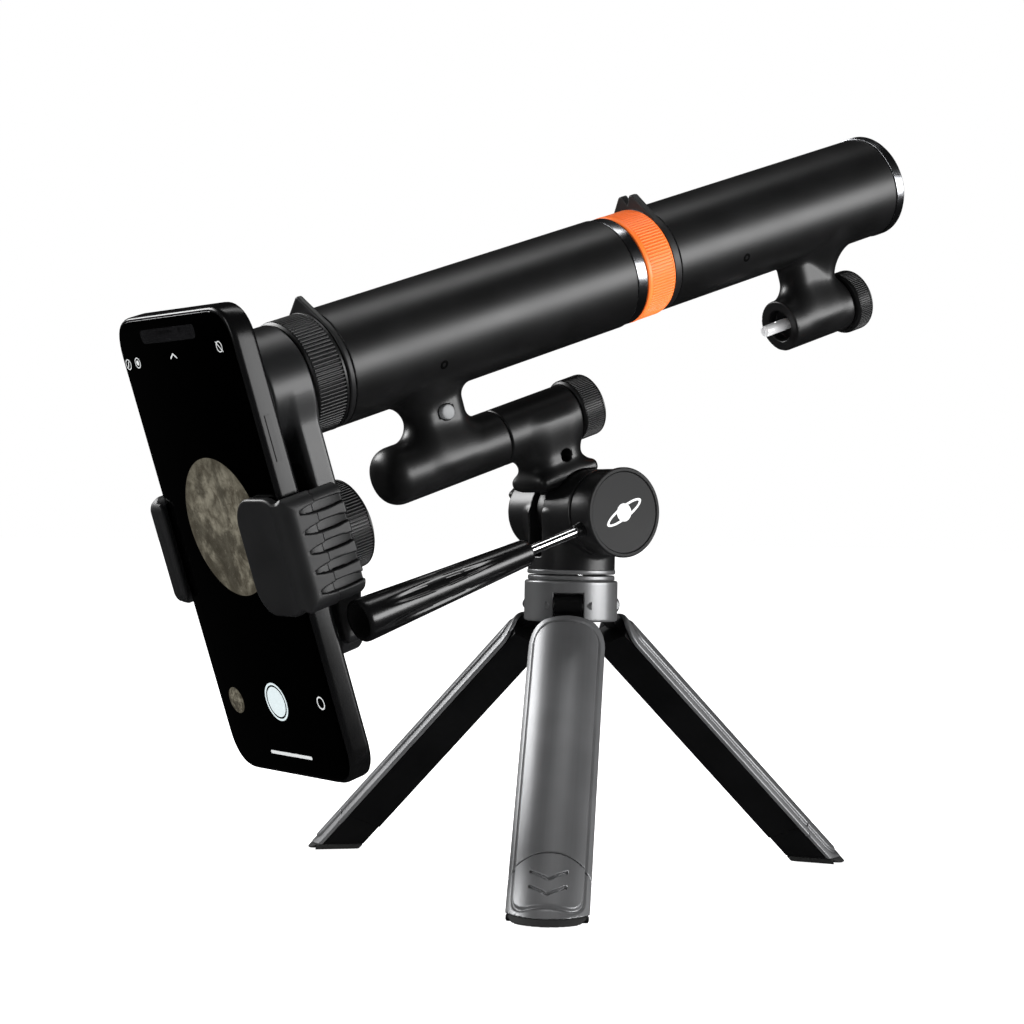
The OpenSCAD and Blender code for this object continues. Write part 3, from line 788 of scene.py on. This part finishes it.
def tube_rings():
    """Turned rings round the tubes, and the focus and eyepiece grips."""
    s0, s1 = stations("joint_ring")
    ring = turned("joint_ring_band", TUBE, ring_outline(s0, s1, 17.9, 15.95, chamfer=0.5), sides=220)
    settle(ring, dark_chrome, "cradle", "ring_metal", "joint_ring")

    s0, s1 = stations("front_bezel")
    outline = soften([(s0, 15.6, 0), (s0, 17.8), (s1 - 0.9, 17.8), (s1, 17.1), (s1, 16.2),
                      (s1 - 1.6, 15.6, 0)], 0.25)
    ring = turned("front_bezel_band", TUBE, outline, sides=220)
    settle(ring, dark_chrome, "front", "ring_metal", "front_bezel")

    s0, s1 = stations("focus_ring")
    outline = soften([(s0, 16.2, 0), (s0, 17.7), (s0 + 0.4, 18.0), (s0 + 1.5, 18.0), (s0 + 1.8, 17.62),
                      (s1 - 0.7, 17.62), (s1 - 0.6, 17.85), (s1, 17.7), (s1, 16.2, 0)], 0.15)
    ring = grip_ring("focus_ring_grip", 0, outline, s0 + 1.7, s1 - 0.6, 17.5, 104, 0.42, focus_orange)
    settle(ring, focus_orange, "focus_ring", "focus_orange", "focus_ring")

    s0, s1 = stations("eyepiece_ring")
    outline = soften([(s0, 13.6, 0), (s0, 17.3), (s0 + 0.6, 18.2), (s0 + 1.0, 17.7), (s1 - 1.4, 17.7),
                      (s1 - 1.2, 18.3), (s1 - 0.5, 18.3), (s1, 17.7), (s1, 13.6, 0)], 0.15)
    ring = grip_ring("eyepiece_grip", 0, outline, s0 + 0.9, s1 - 1.2, 17.75, 92, 0.5, knob_black)
    settle(ring, knob_black, "eyepiece_ring", "knob_black", "eyepiece_ring")


def knobs():
    """The three turned knobs with their ribs."""
    for name, node, r, count in (
            ("adaptor_knob_grip", "adaptor_knob", 10.3, 84),
            ("front_knob_grip", "front_knob", 10.8, 88),
            ("clamp_knob_grip", "phone_knob", 14.0, 84)):
        s0, s1 = stations(node)
        outline = soften([(s0, 0, 0), (s0, r - 0.9), (s0 + 0.7, r - 0.2), (s0 + 1.0, r - 0.45),
                          (s1 - 1.5, r - 0.45), (s1 - 1.3, r - 0.05), (s1 - 0.8, r - 0.1), (s1, r - 1.3),
                          (s1 - 0.1, r - 2.6), (s1 - 0.6, r - 3.0), (s1 - 0.6, 0, 0)], 0.18)
        width = 0.62 * math.pi * r / count
        knob = grip_ring(name, middle(node)[2], outline, s0 + 0.9, s1 - 1.4, r - 0.05 - width, count, width,
                         knob_black)
        settle(knob, knob_black, node, "knob_black", node)


def release_button():
    """Round push button in the rear neck's right side."""
    centre = middle("release_button")
    out = TUBE.span("release_button")[1][0] - centre[0]
    outline = soften([(-1.2, 0, 0), (-1.2, 2.35), (out + 0.3, 2.35), (out + 0.5, 0, 0)], 0.5)
    button = turned("release_button_top", facing(centre, RIGHT), outline, sides=48)
    settle(button, button_grey, "release_button", "button_grey", "release_button")


def front_stud():
    """Slotted stud with two prongs that stands out of the front stem."""
    s0, s1 = stations("front_stud")

    def field(p):
        slot = block(p, (-0.45, s0 - 2, FRONT_V - 5), (0.45, s0 + 6, FRONT_V + 5), 0.1)
        return cut(rod(p, 1, (0, FRONT_V), 2.0, s0, s1, 0.7), slot, 0.25)

    stud = moulded("front_stud_pin", TUBE, field, grid((-2.4, 2.4, 0.22)),
                   grid((s0 - 0.4, s0 + 7, 0.3), (s0 + 7, s1 + 0.6, 1.2)),
                   grid((FRONT_V - 2.4, FRONT_V + 2.4, 0.22)))
    settle(stud, stud_nickel, "front_knob", "rod_chrome", "front_stud")


# ---------------------------------------------------------------- tripod adaptor, head and handle

def adaptor():
    """Clamp barrel with its neck, shoe and tongue."""
    low, high = TUBE.span("adaptor_body")
    barrel_0, barrel_1 = low[1], stations("adaptor_knob")[0] - 0.3
    axle_s, axle_v = (AXLE.origin - TUBE.origin) @ AHEAD, (AXLE.origin - TUBE.origin) @ OVER
    shoe_s = axle_s - 3.2
    side_hole = (-26.5, -50.3)

    def field(p):
        barrel = rod(p, 1, (0, STEM_V), STEM_R, barrel_0, barrel_1, 0.7)
        neck = column(p, shoe_s - 0.4, 11.2, 7.8, axle_v + 12.5, STEM_V)
        shoe = block(p, (-9, shoe_s - 11.8, axle_v + 11.2), (9, shoe_s + 12.2, axle_v + 16), 2.2)
        f = weld(weld(neck, shoe, 3.0), barrel, 4.5)
        # Hollow over the drum, and a small round hole in the right side
        f = cut(f, np.hypot(p[1] - axle_s, p[2] - axle_v) - 14.1, 0.3)
        f = cut(f, rod(p, 0, side_hole, 2.0, 3, 20), 0.3)
        stem = rod(p, 0, (axle_s, axle_v), 10.6, -5.7, 1.7, 0.5)
        tongue = block(p, (-5.7, axle_s - 7, axle_v + 3), (1.7, axle_s + 4.6, axle_v + 15), 0.5)
        f = np.minimum(f, np.minimum(stem, tongue))
        return cut(f, np.hypot(p[0], p[2] - STEM_V) - 3.2, 0.2)

    piece = moulded("adaptor_saddle", TUBE, field, grid((-12.3, 12.3, 0.55)),
                    grid((barrel_0 - 0.6, barrel_0 + 2, 0.4), (barrel_0 + 2, high[1] + 1, 0.55)),
                    grid((low[2] - 1, high[2] + 1, 0.6)))
    settle(piece, tube_black, "cradle", "head_black", "adaptor_body")


def head():
    """Turning base with two ears, a slot between them and a turned rim at its foot."""
    base_z, tilt_z = POST.span("head_base")[0][1], PIVOT[2]

    def field(p):
        base = rod(p, 1, (0, 0), 14.1, base_z, tilt_z, 0.5)
        left = rod(p, 0, (tilt_z, 0), 12.0, -19.6, -6, 0.9)
        right = rod(p, 0, (tilt_z, 0), 13.8, 2, 16.3, 0.9)
        slot = block(p, (-6, tilt_z - 14.4, -40), (2, tilt_z + 40, 40), 0.2)
        return cut(weld(weld(base, left, 2.5), right, 1.5), slot, 0.5)

    piece = moulded("head_yoke", POST, field, grid((-20.4, 17.1, 0.6)),
                    grid((base_z - 0.5, base_z + 3, 0.33), (base_z + 3, tilt_z + 14.5, 0.6)),
                    grid((-14.9, 14.9, 0.6)))
    settle(piece, head_black, "head", "head_black", "head_base")
    outline = ring_outline(base_z + 0.05, base_z + 1.6, 14.3, 12.5, chamfer=0.35)
    settle(turned("head_rim", POST, outline, sides=200), collar_grey, "head", "head_black")


def lock_wing():
    """Small wing knob on the left ear."""
    low, high = AXLE.span("lock_wing")
    turn = math.radians(-66)
    along = AHEAD * math.cos(turn) + OVER * math.sin(turn)
    wing = Place(PIVOT, along, RIGHT, np.cross(along, RIGHT))

    def field(p):
        barrel = rod(p, 1, (0, 0), 4.4, low[1], high[1], 0.5)
        blade = block(p, (-10, low[1], -2.6), (10, low[1] + 3.6, 2.6), 1.3)
        return weld(barrel, blade, 1.5)

    piece = moulded("lock_wing_knob", wing, field, grid((-10.6, 10.6, 0.45)),
                    grid((low[1] - 0.5, high[1] + 0.5, 0.35)), grid((-5, 5, 0.35)))
    settle(piece, leg_black, "tilt_lock", "leg_black", "lock_wing")


def drum():
    """Drum on the right ear, with its cap and the ringed planet on it."""
    x0, x1 = (end[1] for end in AXLE.span("tilt_drum"))
    outline = soften([(x0, 0, 0), (x0, 13.2), (x0 + 0.7, 13.8), (x1, 13.8), (x1, 0, 0)], 0.4)
    settle(turned("drum_body", AXLE, outline, sides=180), head_black, "cradle", "head_black", "tilt_drum")
    x0, x1 = x1, AXLE.span("drum_cap")[1][1]
    level = x1 - 0.42
    outline = soften([(x0, 0, 0), (x0, 14.0), (x0 + 0.3, 14.3), (x1 - 0.35, 14.3), (x1, 13.95), (x1, 13.1),
                      (x1 - 0.35, 12.75), (level, 0, 0)], 0.12)
    settle(turned("drum_cap_disc", AXLE, outline, sides=180), cap_grey, "cradle", "cap_grey", "drum_cap")

    planet = slab("cap_planet", AXLE, circle_outline(2.9), [(0, 0), (0.1, 0.05)], level - 0.02)
    # The planet's ring: two ellipses, each low and high, tilted together
    tilt, count = math.radians(-14), 96
    points, faces = [], []
    for a, b in ((7.9, 2.15), (6.9, 1.35)):
        for depth in (-0.02, 0.12):
            for k in range(count):
                t = 2 * math.pi * k / count
                x, z = a * math.cos(t), b * math.sin(t)
                points.append((x * math.cos(tilt) - z * math.sin(tilt), level + depth,
                               x * math.sin(tilt) + z * math.cos(tilt)))
    for row, on in ((0, 1), (1, 3), (3, 2), (2, 0)):
        for k in range(count):
            j = (k + 1) % count
            faces.append((row * count + k, row * count + j, on * count + j, on * count + k))
    emblem = join(planet, new_piece("cap_hoop", points, faces, AXLE))
    settle(emblem, emblem_white, "cradle", "emblem_white", "cap_emblem")


def handle():
    """Small cone where the rod leaves the drum, and the fluted grip."""
    x, _, v = middle("rod_ferrule")
    s0, s1 = stations("rod_ferrule")
    outline = soften([(s0, 0, 0), (s0, 2.0), (s0 + 1.5, 2.3), (s1 - 3, 3.4), (s1, 3.4), (s1, 0, 0)], 0.3)
    cone = turned("rod_cone", TUBE, outline, (x, v), sides=64)
    settle(cone, grip_black, "cradle", "grip_black", "rod_ferrule")
    s0, s1 = stations("handle_grip")
    length = s1 - s0

    def flutes(s, r, angles):
        t = (s - s0 - 4) / (length - 9)
        if not 0 < t < 1 or r < 3:
            return np.full(len(angles), r)
        width = np.clip(math.sin(math.pi * t ** 0.8), 0, 1)
        scoop = np.clip(np.cos(angles * 6) - 1 + 1.5 * width, 0, 1)
        return r - 0.95 * width * scoop ** 1.2

    skin = [(s, 6.6 - 2.4 * (s - s0 - 2.2) / (length - 3.2)) for s in np.linspace(s0 + 2.2, s1 - 1, 70)]
    outline = [(s0 + 9, 0), (s0 + 9, 4.6), (s0 + 0.7, 5.1), (s0 + 0.15, 5.35), (s0, 5.75), (s0 + 0.1, 6.2),
               (s0 + 0.5, 6.5), (s0 + 1.4, 6.6), *skin, (s1 - 0.3, 3.9), (s1, 3.4), (s1, 0)]
    grip = turned("handle_grip_body", TUBE, outline, (x, v), sides=144, closed=False, shape=flutes)
    settle(grip, grip_black, "grip", "grip_black", "handle_grip")


# ---------------------------------------------------------------- phone and its holder

# Stations of the jaws' rear face and of their slide bars, and the number of grip rows
JAW_BACK = -119.6
BAR_0, BAR_1 = -128.5, -124.3
ROWS = 6


def holder():
    """Collar round the eyepiece with the arm that hangs behind the phone."""
    low, high = TUBE.span("adapter_body")
    s0, s1 = low[1], high[1]
    knob_v = middle("phone_knob")[2]

    def field(p):
        collar = corner(np.hypot(p[0], p[2]) - 17.7, between(p[1], s0, s1), 0.9)
        narrow = 11 + 5 * smooth(p[2], -72, -58)
        arm = corner(corner(np.abs(p[0]) - narrow, between(p[1], s0 + 6, s1), 1.6), between(p[2], -80, 0), 3)
        stub = rod(p, 1, (0, -76), 8, s0 + 6, s1, 1)
        f = weld(np.minimum(arm, stub), collar, 2.5)
        f = np.minimum(f, block(p, (-20, s0 + 0.2, -62), (2, s0 + 7, -30.5), 0.6))
        # Long channel in the arm's rear, beside its right wall
        f = cut(f, block(p, (-8, s0 + 3, -60), (12.6, s0 + 10.2, -23), 2.5), 0.6)
        for bar_v in (-53.8, -38.8):
            f = cut(f, block(p, (-40, s0 + 1.2, bar_v - 2.5), (40, s0 + 6, bar_v + 2.5), 0.2), 0.2)
        f = cut(f, rod(p, 1, (0, knob_v), 4.1, s0, s1 + 2), 0.2)
        return with_bore(f, p, 13.5, s0 - 3, s1 + 3)

    piece = moulded("phone_holder", TUBE, field, grid((-20.6, 18.4, 0.75)), grid((s0 - 0.6, s1 + 0.6, 0.55)),
                    grid((low[2] - 1, 18.4, 0.75)))
    settle(piece, adapter_grey, "cradle", "adapter_black", "adapter_body")


def jaw_right():
    """Right jaw: a wide front plate, and a side with six rows of grip."""
    low, high = TUBE.span("jaw_right")
    edge = TUBE.span("phone_body")[1][0] + 0.3
    display_s = stations("phone_body")[0]
    front, grip_s = low[1] - 1.2, -126.5
    inner, outer = low[0] - 2.4, high[0]
    v0, v1 = low[2], high[2]

    def field(p):
        outline = corner(between(p[0], inner, outer), between(p[2], v0, v1), 9)
        plate = corner(outline, between(p[1], front, display_s - 0.4), 0.8)
        step = 1.0 * smooth(p[1], -130.6, -129.6)
        side_out = p[0] - (outer + 0.5 - step)
        side = corner(corner(np.maximum(edge - p[0], side_out), between(p[1], front, JAW_BACK), 1.0),
                      between(p[2], v0, v1), 5)
        f = np.maximum(weld(plate, side, 0.8), corner(side_out, front - p[1], 5.5))
        deep = 2.3 * np.clip(1 - ((p[1] - grip_s) / 9.5) ** 2, 0, 1) ** 0.5
        half = 1.55 * np.clip(1 - ((p[1] - grip_s) / 10) ** 2, 0.01, 1) ** 0.7
        for k in range(1, ROWS):
            at = v0 + (v1 - v0) / ROWS * k
            groove = np.maximum(np.abs(p[2] - at) - half, outer + 0.6 - step - deep - p[0])
            f = cut(f, np.maximum(groove, between(p[1], -136.2, -116)), 0.45)
        return np.minimum(f, block(p, (edge - 14, BAR_0, -41), (edge + 1, BAR_1, -36.6), 0.3))

    piece = moulded("jaw_right_grip", TUBE, field,
                    grid((inner - 1, edge - 1, 0.7), (edge - 1, outer + 1.6, 0.4)),
                    grid((front - 0.5, front + 3, 0.35), (front + 3, JAW_BACK + 0.7, 0.5)),
                    grid((v0 - 0.6, v1 + 1.2, 0.42)))
    settle(piece, jaw_grey, "jaw_right", "adapter_black", "jaw_right")


def jaw_left():
    """Left jaw: a bulged side with a short lip."""
    low, high = TUBE.span("jaw_left")
    edge = TUBE.span("phone_body")[0][0] - 0.3
    (x0, front, v0), v1 = low, high[2]

    def field(p):
        side = corner(corner(between(p[0], x0, edge), between(p[1], front, JAW_BACK), 2.2),
                      between(p[2], v0, v1), 5)
        lip = corner(corner(between(p[0], x0 + 1, edge + 1.6), between(p[1], front, front + 2), 0.9),
                     between(p[2], v0 + 0.6, v1 - 0.6), 4)
        f = weld(side, lip, 0.6)
        for k in range(1, ROWS):
            groove = np.hypot(p[2] - (v0 + (v1 - v0) / ROWS * k), (p[0] - x0) * 0.9) - 1.3
            f = cut(f, np.maximum(groove, between(p[1], -135, -116)), 0.4)
        return np.minimum(f, block(p, (edge - 1, BAR_0, v0 + 8.3), (edge + 15, BAR_1, v0 + 12.7), 0.3))

    piece = moulded("jaw_left_grip", TUBE, field,
                    grid((x0 - 0.6, edge + 2.4, 0.45), (edge + 2.4, edge + 15.8, 0.8)),
                    grid((front - 0.5, front + 3, 0.4), (front + 3, JAW_BACK + 0.7, 0.6)),
                    grid((v0 - 0.6, v1 + 0.6, 0.5)))
    settle(piece, jaw_grey, "jaw_left", "adapter_black", "jaw_left")


_low, _high = TUBE.span("phone_body")
PHONE_W, PHONE_T, PHONE_H = _high - _low
# The phone's frame: x right, y from the display into the phone, z up along it, from the display's middle
_face = ((_low[0] + _high[0]) / 2, _low[1], (_low[2] + _high[2]) / 2)
PHONE = Place(TUBE.out(_face) / MM, RIGHT, AHEAD, OVER)
# How far the shown picture lies over the glass, and the glass dots over its notch
SHOWN = -0.05
RAISED = -0.06


def bar(name, x, z, length, width, turn=0.0, level=SHOWN):
    """A thin lit stroke on the display."""
    c, s = math.cos(math.radians(turn)), math.sin(math.radians(turn))
    flat = [(x + a * c - b * s, z + a * s + b * c)
            for a, b in box_outline(length, width, width * 0.49, steps=4)]
    return slab(name, PHONE, flat, [(0, 0), (0.04, 0)], level)


def hoop(name, x, z, r, width):
    """A thin lit ring on the display."""
    outline = [(SHOWN, r - width), (SHOWN, r), (SHOWN + 0.04, r), (SHOWN + 0.04, r - width)]
    return turned(name, PHONE, outline, (x, z), sides=48)


def disc(name, x, z, r, sides=64, level=SHOWN):
    """A thin disc on the display."""
    return slab(name, PHONE, circle_outline(r, x, z, sides), [(0, 0), (0.03, 0)], level)


def phone():
    """Phone with rounded rails, glass, and a camera app that shows the full moon."""
    outline = box_outline(PHONE_W, PHONE_H, 11.5)
    rail = [(0.25, 1.3), (0.3, 0.75), (0.55, 0.35), (1.2, 0.05), (2.0, 0), (6.2, 0), (7.2, 0.15), (7.75, 0.6),
            (8.0, 1.4)]
    body = slab("phone_shell", PHONE, outline, rail, 0)
    settle(body, phone_frame, "phone", "phone_frame", "phone_body")
    outline = box_outline(PHONE_W - 2.2, PHONE_H - 2.2, 10.6)
    glass = slab("phone_glass", PHONE, outline, [(0, 0.5), (0.12, 0.1), (0.3, 0)], 0)
    settle(glass, screen_glass, "phone", "screen_glass", "phone_screen")

    top = PHONE_H / 2 - 4.2
    outline = soften([(-19, top, 1.5), (-19, 65, 3.4), (15, 65, 3.4), (15, top, 1.5)], 2)
    notch = slab("phone_notch", PHONE, outline, [(0, 0), (0.04, 0)], -0.03)
    settle(notch, notch_black, "phone", "screen_glass")
    speaker = bar("phone_speaker", -3, 68, 9.5, 0.9, level=RAISED)
    speaker = join(speaker, disc("phone_lens_dot", 6, 68.1, 0.9, level=RAISED))
    settle(speaker, phone_frame, "phone", "phone_frame")

    for name, finish, x, z, r, sides in (("moon_picture", "moon_surface", 0, 7, 21.8, 128),
                                         ("moon_thumbnail", "moon_small", -24.4, -50.3, 4.3, 64)):
        settle(disc(name, x, z, r, sides), moon(finish, (x, 0, z), r), "phone", "screen_glass")

    shutter = join(disc("shutter_disc", 1, -49, 4.9), hoop("shutter_ring", 1, -49, 6.2, 0.7))
    settle(shutter, shutter_grey, "phone", "screen_glass")
    marks = [bar("home_bar", 1, -66.3, 24.6, 1.1), hoop("turn_mark", 27.8, -47.4, 2.1, 0.45),
             hoop("flash_mark", -32, 59.3, 1.7, 0.3), hoop("live_mark", -25.7, 59.5, 1.7, 0.3),
             disc("live_dot", -25.7, 59.5, 0.8, 24),
             hoop("filter_mark", 26.8, 61.8, 1.7, 0.3), bar("filter_stroke", 26.8, 61.8, 4.6, 0.3, -45),
             bar("arrow_left", -3.0, 60.5, 2.6, 0.5, 35), bar("arrow_right", -1.1, 60.5, 2.6, 0.5, -35),
             bar("flash_stroke", -32, 59.3, 2.2, 0.4, 60)]
    settle(join(*marks), icon_white, "phone", "screen_glass")

    # Camera island on the back, in line with the tube
    x, z = -(PHONE.origin - TUBE.origin) @ RIGHT, -(PHONE.origin - TUBE.origin) @ OVER
    island = slab("camera_island", PHONE, box_outline(26, 26, 7, x + 4, z + 4),
                  [(-0.3, 0), (0.25, 0), (0.4, 0.3)], PHONE_T)
    rim = [(PHONE_T + depth, r) for depth, r in ((0, 3.0), (0, 4.6), (0.5, 4.6), (0.55, 3.9), (0.45, 3.0))]
    rims, eyes = [], []
    for k, (x, z) in enumerate(((x, z), (x, z + 10), (x + 9, z + 5))):
        rims.append(turned(f"camera_rim_{k}", PHONE, rim, (x, z), sides=64))
        eyes.append(slab(f"camera_eye_{k}", PHONE, circle_outline(3.0, x, z, 48), [(0, 0), (0.25, 0)],
                         PHONE_T + 0.1))
    settle(join(island, *rims), phone_frame, "phone", "phone_frame")
    settle(join(*eyes), screen_glass, "phone", "screen_glass")


# ---------------------------------------------------------------- collar and legs

LEGS = ("leg_1", "leg_2", "leg_3")
# Outer radius of a closed leg, the thickness of its grey cover and of its sole
LEG_R = 14.8
SKIN = 1.9
SOLE = 2.0


def collar():
    """Collar with a window for each leg's knuckle, and the ring over it."""
    low, high = POST.span("collar")
    z0, z1 = low[1], high[1]
    ways = []
    for leg_name in LEGS:
        x, y, _ = joint_line(leg_name + "_fold")[1] - PAN
        ways.append((x / math.hypot(x, y), -y / math.hypot(x, y)))

    def field(p):
        f = rod(p, 1, (0, 0), high[0], z0, z1, 0.7)
        f = cut(f, rod(p, 1, (0, 0), 7.2, z0 - 5, z0 + 2.6), 0.2)
        for x, z in ways:
            out, across = p[0] * x + p[2] * z, p[2] * x - p[0] * z
            window = np.maximum(np.abs(across) - 4.8, 8.5 - out)
            f = cut(f, np.maximum(window, between(p[1], z0 - 5, z0 + 9.2)), 0.35)
        return f

    piece = moulded("tripod_collar", POST, field, grid((-15.7, 15.7, 0.5)), grid((z0 - 0.5, z1 + 0.5, 0.45)),
                    grid((-15.7, 15.7, 0.5)))
    settle(piece, collar_grey, "stand", "leg_grey", "collar")
    low, high = POST.span("pan_ring")
    ring = turned("pan_ring_band", POST, ring_outline(low[1], high[1], 14.1, 5.05, chamfer=0.35), sides=200)
    settle(ring, collar_grey, "stand", "leg_grey", "pan_ring")


def leg(leg_name):
    """Cover with its raised panel, and the foot that carries the panel on, with two chevrons."""
    place = leg_place(leg_name + "_fold")
    low, high = place.span(leg_name + "_cover")
    top, seam = high[2], low[2]
    tip = place.span(leg_name + "_foot")[0][2]
    half = math.radians(58.6) * LEG_R

    def height(p):
        """How far a point is above the table."""
        x, y, z = place.axes[:, 2]
        return place.origin[2] + p[0] * x + p[1] * y + p[2] * z

    def skin(p):
        """How far a point is out of the round face with its panel, and its place across the face."""
        u = LEG_R * np.arctan2(p[0], -p[1])
        panel = corner(np.abs(u) - (half - 3.6), between(p[2], tip + 5, top - 3), 6)
        rise = 0.40 * smooth(-panel, -0.1, 0.6) - 0.42 * np.exp(-((panel - 0.35) / 0.5) ** 2)
        return np.hypot(p[0], p[1]) - (LEG_R - 0.4 + rise), u

    def seam_at(u):
        return seam - 5.0 * (u / half) ** 2

    def cover(p):
        face, u = skin(p)
        shell = np.maximum(face, LEG_R - SKIN - np.hypot(p[0], p[1]))
        f = corner(shell, corner(np.abs(u) - half, p[2] - top, 8), 0.5)
        return corner(f, seam_at(u) + 0.15 - p[2], 0.15)

    def section(p, r):
        """Third of a round bar, with its corners at the floor rounded across the face."""
        u = LEG_R * np.arctan2(p[0], -p[1])
        sides = np.abs(p[0]) * math.cos(math.radians(60)) + (p[1] + 0.55) * math.sin(math.radians(60))
        round_u, round_low = np.abs(u) - (half - 5.5), 5.5 - height(p) * 1.35
        ends = np.hypot(np.maximum(round_u, 0), np.maximum(round_low, 0)) - 5.5
        return corner(np.hypot(p[0], p[1]) - r, np.maximum(sides, np.where(p[1] < -8, ends, -1)), 0.5), u

    def foot(p):
        face, u = skin(p)
        solid, _ = section(p, LEG_R + 0.2)
        f = corner(np.maximum(solid, face), LEG_R - SKIN - np.hypot(p[0], p[1]), 0.2)
        f = corner(f, p[2] - (seam_at(u) - 0.15), 0.15)
        for k in (0, 1):
            at = tip + 9.2 + 5.3 * k
            stroke = np.abs(p[2] - at - 0.60 * np.abs(u)) - 0.5
            stroke = np.maximum(np.maximum(stroke, np.abs(u) - 5.7), LEG_R - 0.9 - np.hypot(p[0], p[1]))
            f = cut(f, stroke, 0.12)
        return corner(f, SOLE - height(p), 0.3)

    def foot_core(p):
        solid, _ = section(p, LEG_R - 2.0)
        return corner(corner(solid, p[2] - (seam - 0.1), 0.1), SOLE - height(p), 0.2)

    def sole(p):
        solid, _ = section(p, LEG_R - 0.5)
        return corner(solid, between(height(p), 0.02, SOLE), 0.25)

    across = grid((-13.4, 13.4, 0.5))
    piece = moulded(leg_name + "_shell", place, cover, across, grid((-15.3, -6.6, 0.42)),
                    grid((seam - 5.8, seam + 6, 0.5), (seam + 6, top - 14, 1.1), (top - 14, top + 0.5, 0.5)))
    settle(piece, leg_grey, leg_name, "leg_grey", leg_name + "_cover")
    piece = moulded(leg_name + "_toe", place, foot, across, grid((-15.3, 0.5, 0.5)),
                    grid((tip - 1, seam + 0.8, 0.42)))
    settle(piece, leg_grey, leg_name, "leg_grey", leg_name + "_foot")
    inner = moulded(leg_name + "_toe_core", place, foot_core, across, grid((-13.6, 0.5, 0.7)),
                    grid((tip - 1, seam + 0.6, 0.6)))
    settle(inner, leg_black, leg_name, "leg_black")
    pad = moulded(leg_name + "_pad", place, sole, across, grid((-15.3, 0.8, 0.55)),
                  grid((tip - 3, tip + 20, 0.55)))
    settle(pad, sole_rubber, leg_name, "sole_rubber", leg_name + "_sole")


# ---------------------------------------------------------------- the whole object

rear_moulding()
front_moulding()
rear_sight()
front_sight()
screws("rear_screw_heads", -68.6, REAR_R, 28.7, "cradle", "rear_screws")
screws("front_screw_heads", 60.5, FRONT_R, 27.7, "front", "front_screws")
tube_rings()
knobs()
release_button()
front_stud()
adaptor()
head()
lock_wing()
drum()
handle()
holder()
jaw_right()
jaw_left()
phone()
collar()
for each in LEGS:
    leg(each)
    dress(leg_black, each + "_core")
dress(collar_grey, "hinge_pins")
dress(bright_chrome, "pan_spindle", "lock_stud", "tilt_axle", "adaptor_bolt", "knob_shaft", "handle_rod")
dress(lens_glass, "eye_lens", "field_lens", "objective_lens")
dress(inner_black, "lens_retainer", "draw_tube", "eyepiece_barrel")
dress(phone_frame, "phone_button")


# ---------------------------------------------------------------- camera, floor and light

# What the soft boxes point at, in metres
AIM = Vector((0, 0, 0.15))


def camera():
    """Camera low on the right and behind, slightly rolled."""
    turn, lift, roll = math.radians(54.10), math.radians(0.39), math.radians(0.995)
    look = Vector((-math.sin(turn) * math.cos(lift), math.cos(turn) * math.cos(lift), math.sin(lift)))
    right = Vector((math.cos(turn), math.sin(turn), 0))
    up = right.cross(look)
    right, up = right * math.cos(roll) + up * math.sin(roll), up * math.cos(roll) - right * math.sin(roll)
    data = bpy.data.cameras.new("camera")
    data.lens, data.sensor_width, data.clip_start, data.clip_end = 82.2, 36, 0.02, 20
    thing = put("camera", data)
    turned_to = Matrix((right, up, -look)).transposed().to_4x4()
    stand = Vector((603.6 + PAN[0], -461.1 + PAN[1], 111.7)) * MM
    thing.matrix_world = Matrix.Translation(stand) @ turned_to
    bpy.context.scene.camera = thing


def soft_box(name, towards, distance, width, height, power):
    """Large soft light, aimed at the object from a direction."""
    data = bpy.data.lights.new(name, "AREA")
    data.shape, data.size, data.size_y, data.energy = "RECTANGLE", width, height, power
    thing = put(name, data)
    way = Vector(towards).normalized()
    turned_to = way.to_track_quat("Z", "Y").to_matrix().to_4x4()
    thing.matrix_world = Matrix.Translation(AIM + way * distance) @ turned_to
    thing.visible_camera = False


def floor():
    """White floor that runs far out, half a millimetre under the soles."""
    mesh = bpy.data.meshes.new("floor")
    far, level = 12, -0.0005
    mesh.from_pydata([(a * far, b * far, level) for a, b in SQUARE], [], [(0, 1, 2, 3)])
    f = Finish("white_floor")
    grain = f.noise(6, 3.0)
    shade = f.mix(grain * 0.2, (0.93, 0.93, 0.93), (0.90, 0.90, 0.90))
    mesh.materials.append(f.surface(Base_Color=shade, Emission_Color=(1, 1, 1, 1), Emission_Strength=1.0,
                                    Roughness=0.9))
    thing = put("floor", mesh)
    thing.visible_glossy = False


def world():
    """White to the camera and to matt surfaces, and dim to glossy ones, so that only the soft boxes gleam."""
    light = bpy.data.worlds.new("studio")
    light.use_nodes = True
    light.node_tree.nodes.clear()
    g = Graph(light.node_tree)
    path = g.node("ShaderNodeLightPath")
    seen = path.other("Is Camera Ray")
    glossy = path.other("Is Glossy Ray")
    strength = glossy * -0.32 + 0.33
    shine = g.node("ShaderNodeMix", {"data_type": "FLOAT"}, {0: seen, 2: strength, 3: 1.0})
    ground = g.node("ShaderNodeBackground", None, {"Color": (1, 1, 1, 1), "Strength": shine})
    g.node("ShaderNodeOutputWorld", None, {"Surface": ground})
    bpy.context.scene.world = light


camera()
floor()
world()
soft_box("side_box", (0.79, 0.57, 0.10), 1.1, 0.9, 0.40, 11)
soft_box("top_box", (-0.1, 0.1, 1.0), 0.9, 0.6, 0.18, 1.6)
soft_box("left_box", (-0.84, -0.52, 0.50), 1.2, 0.6, 0.5, 12)
soft_box("rear_box", (0.12, -1.0, 0.10), 1.3, 0.22, 0.8, 5)
bpy.context.scene.view_settings.view_transform = "Standard"
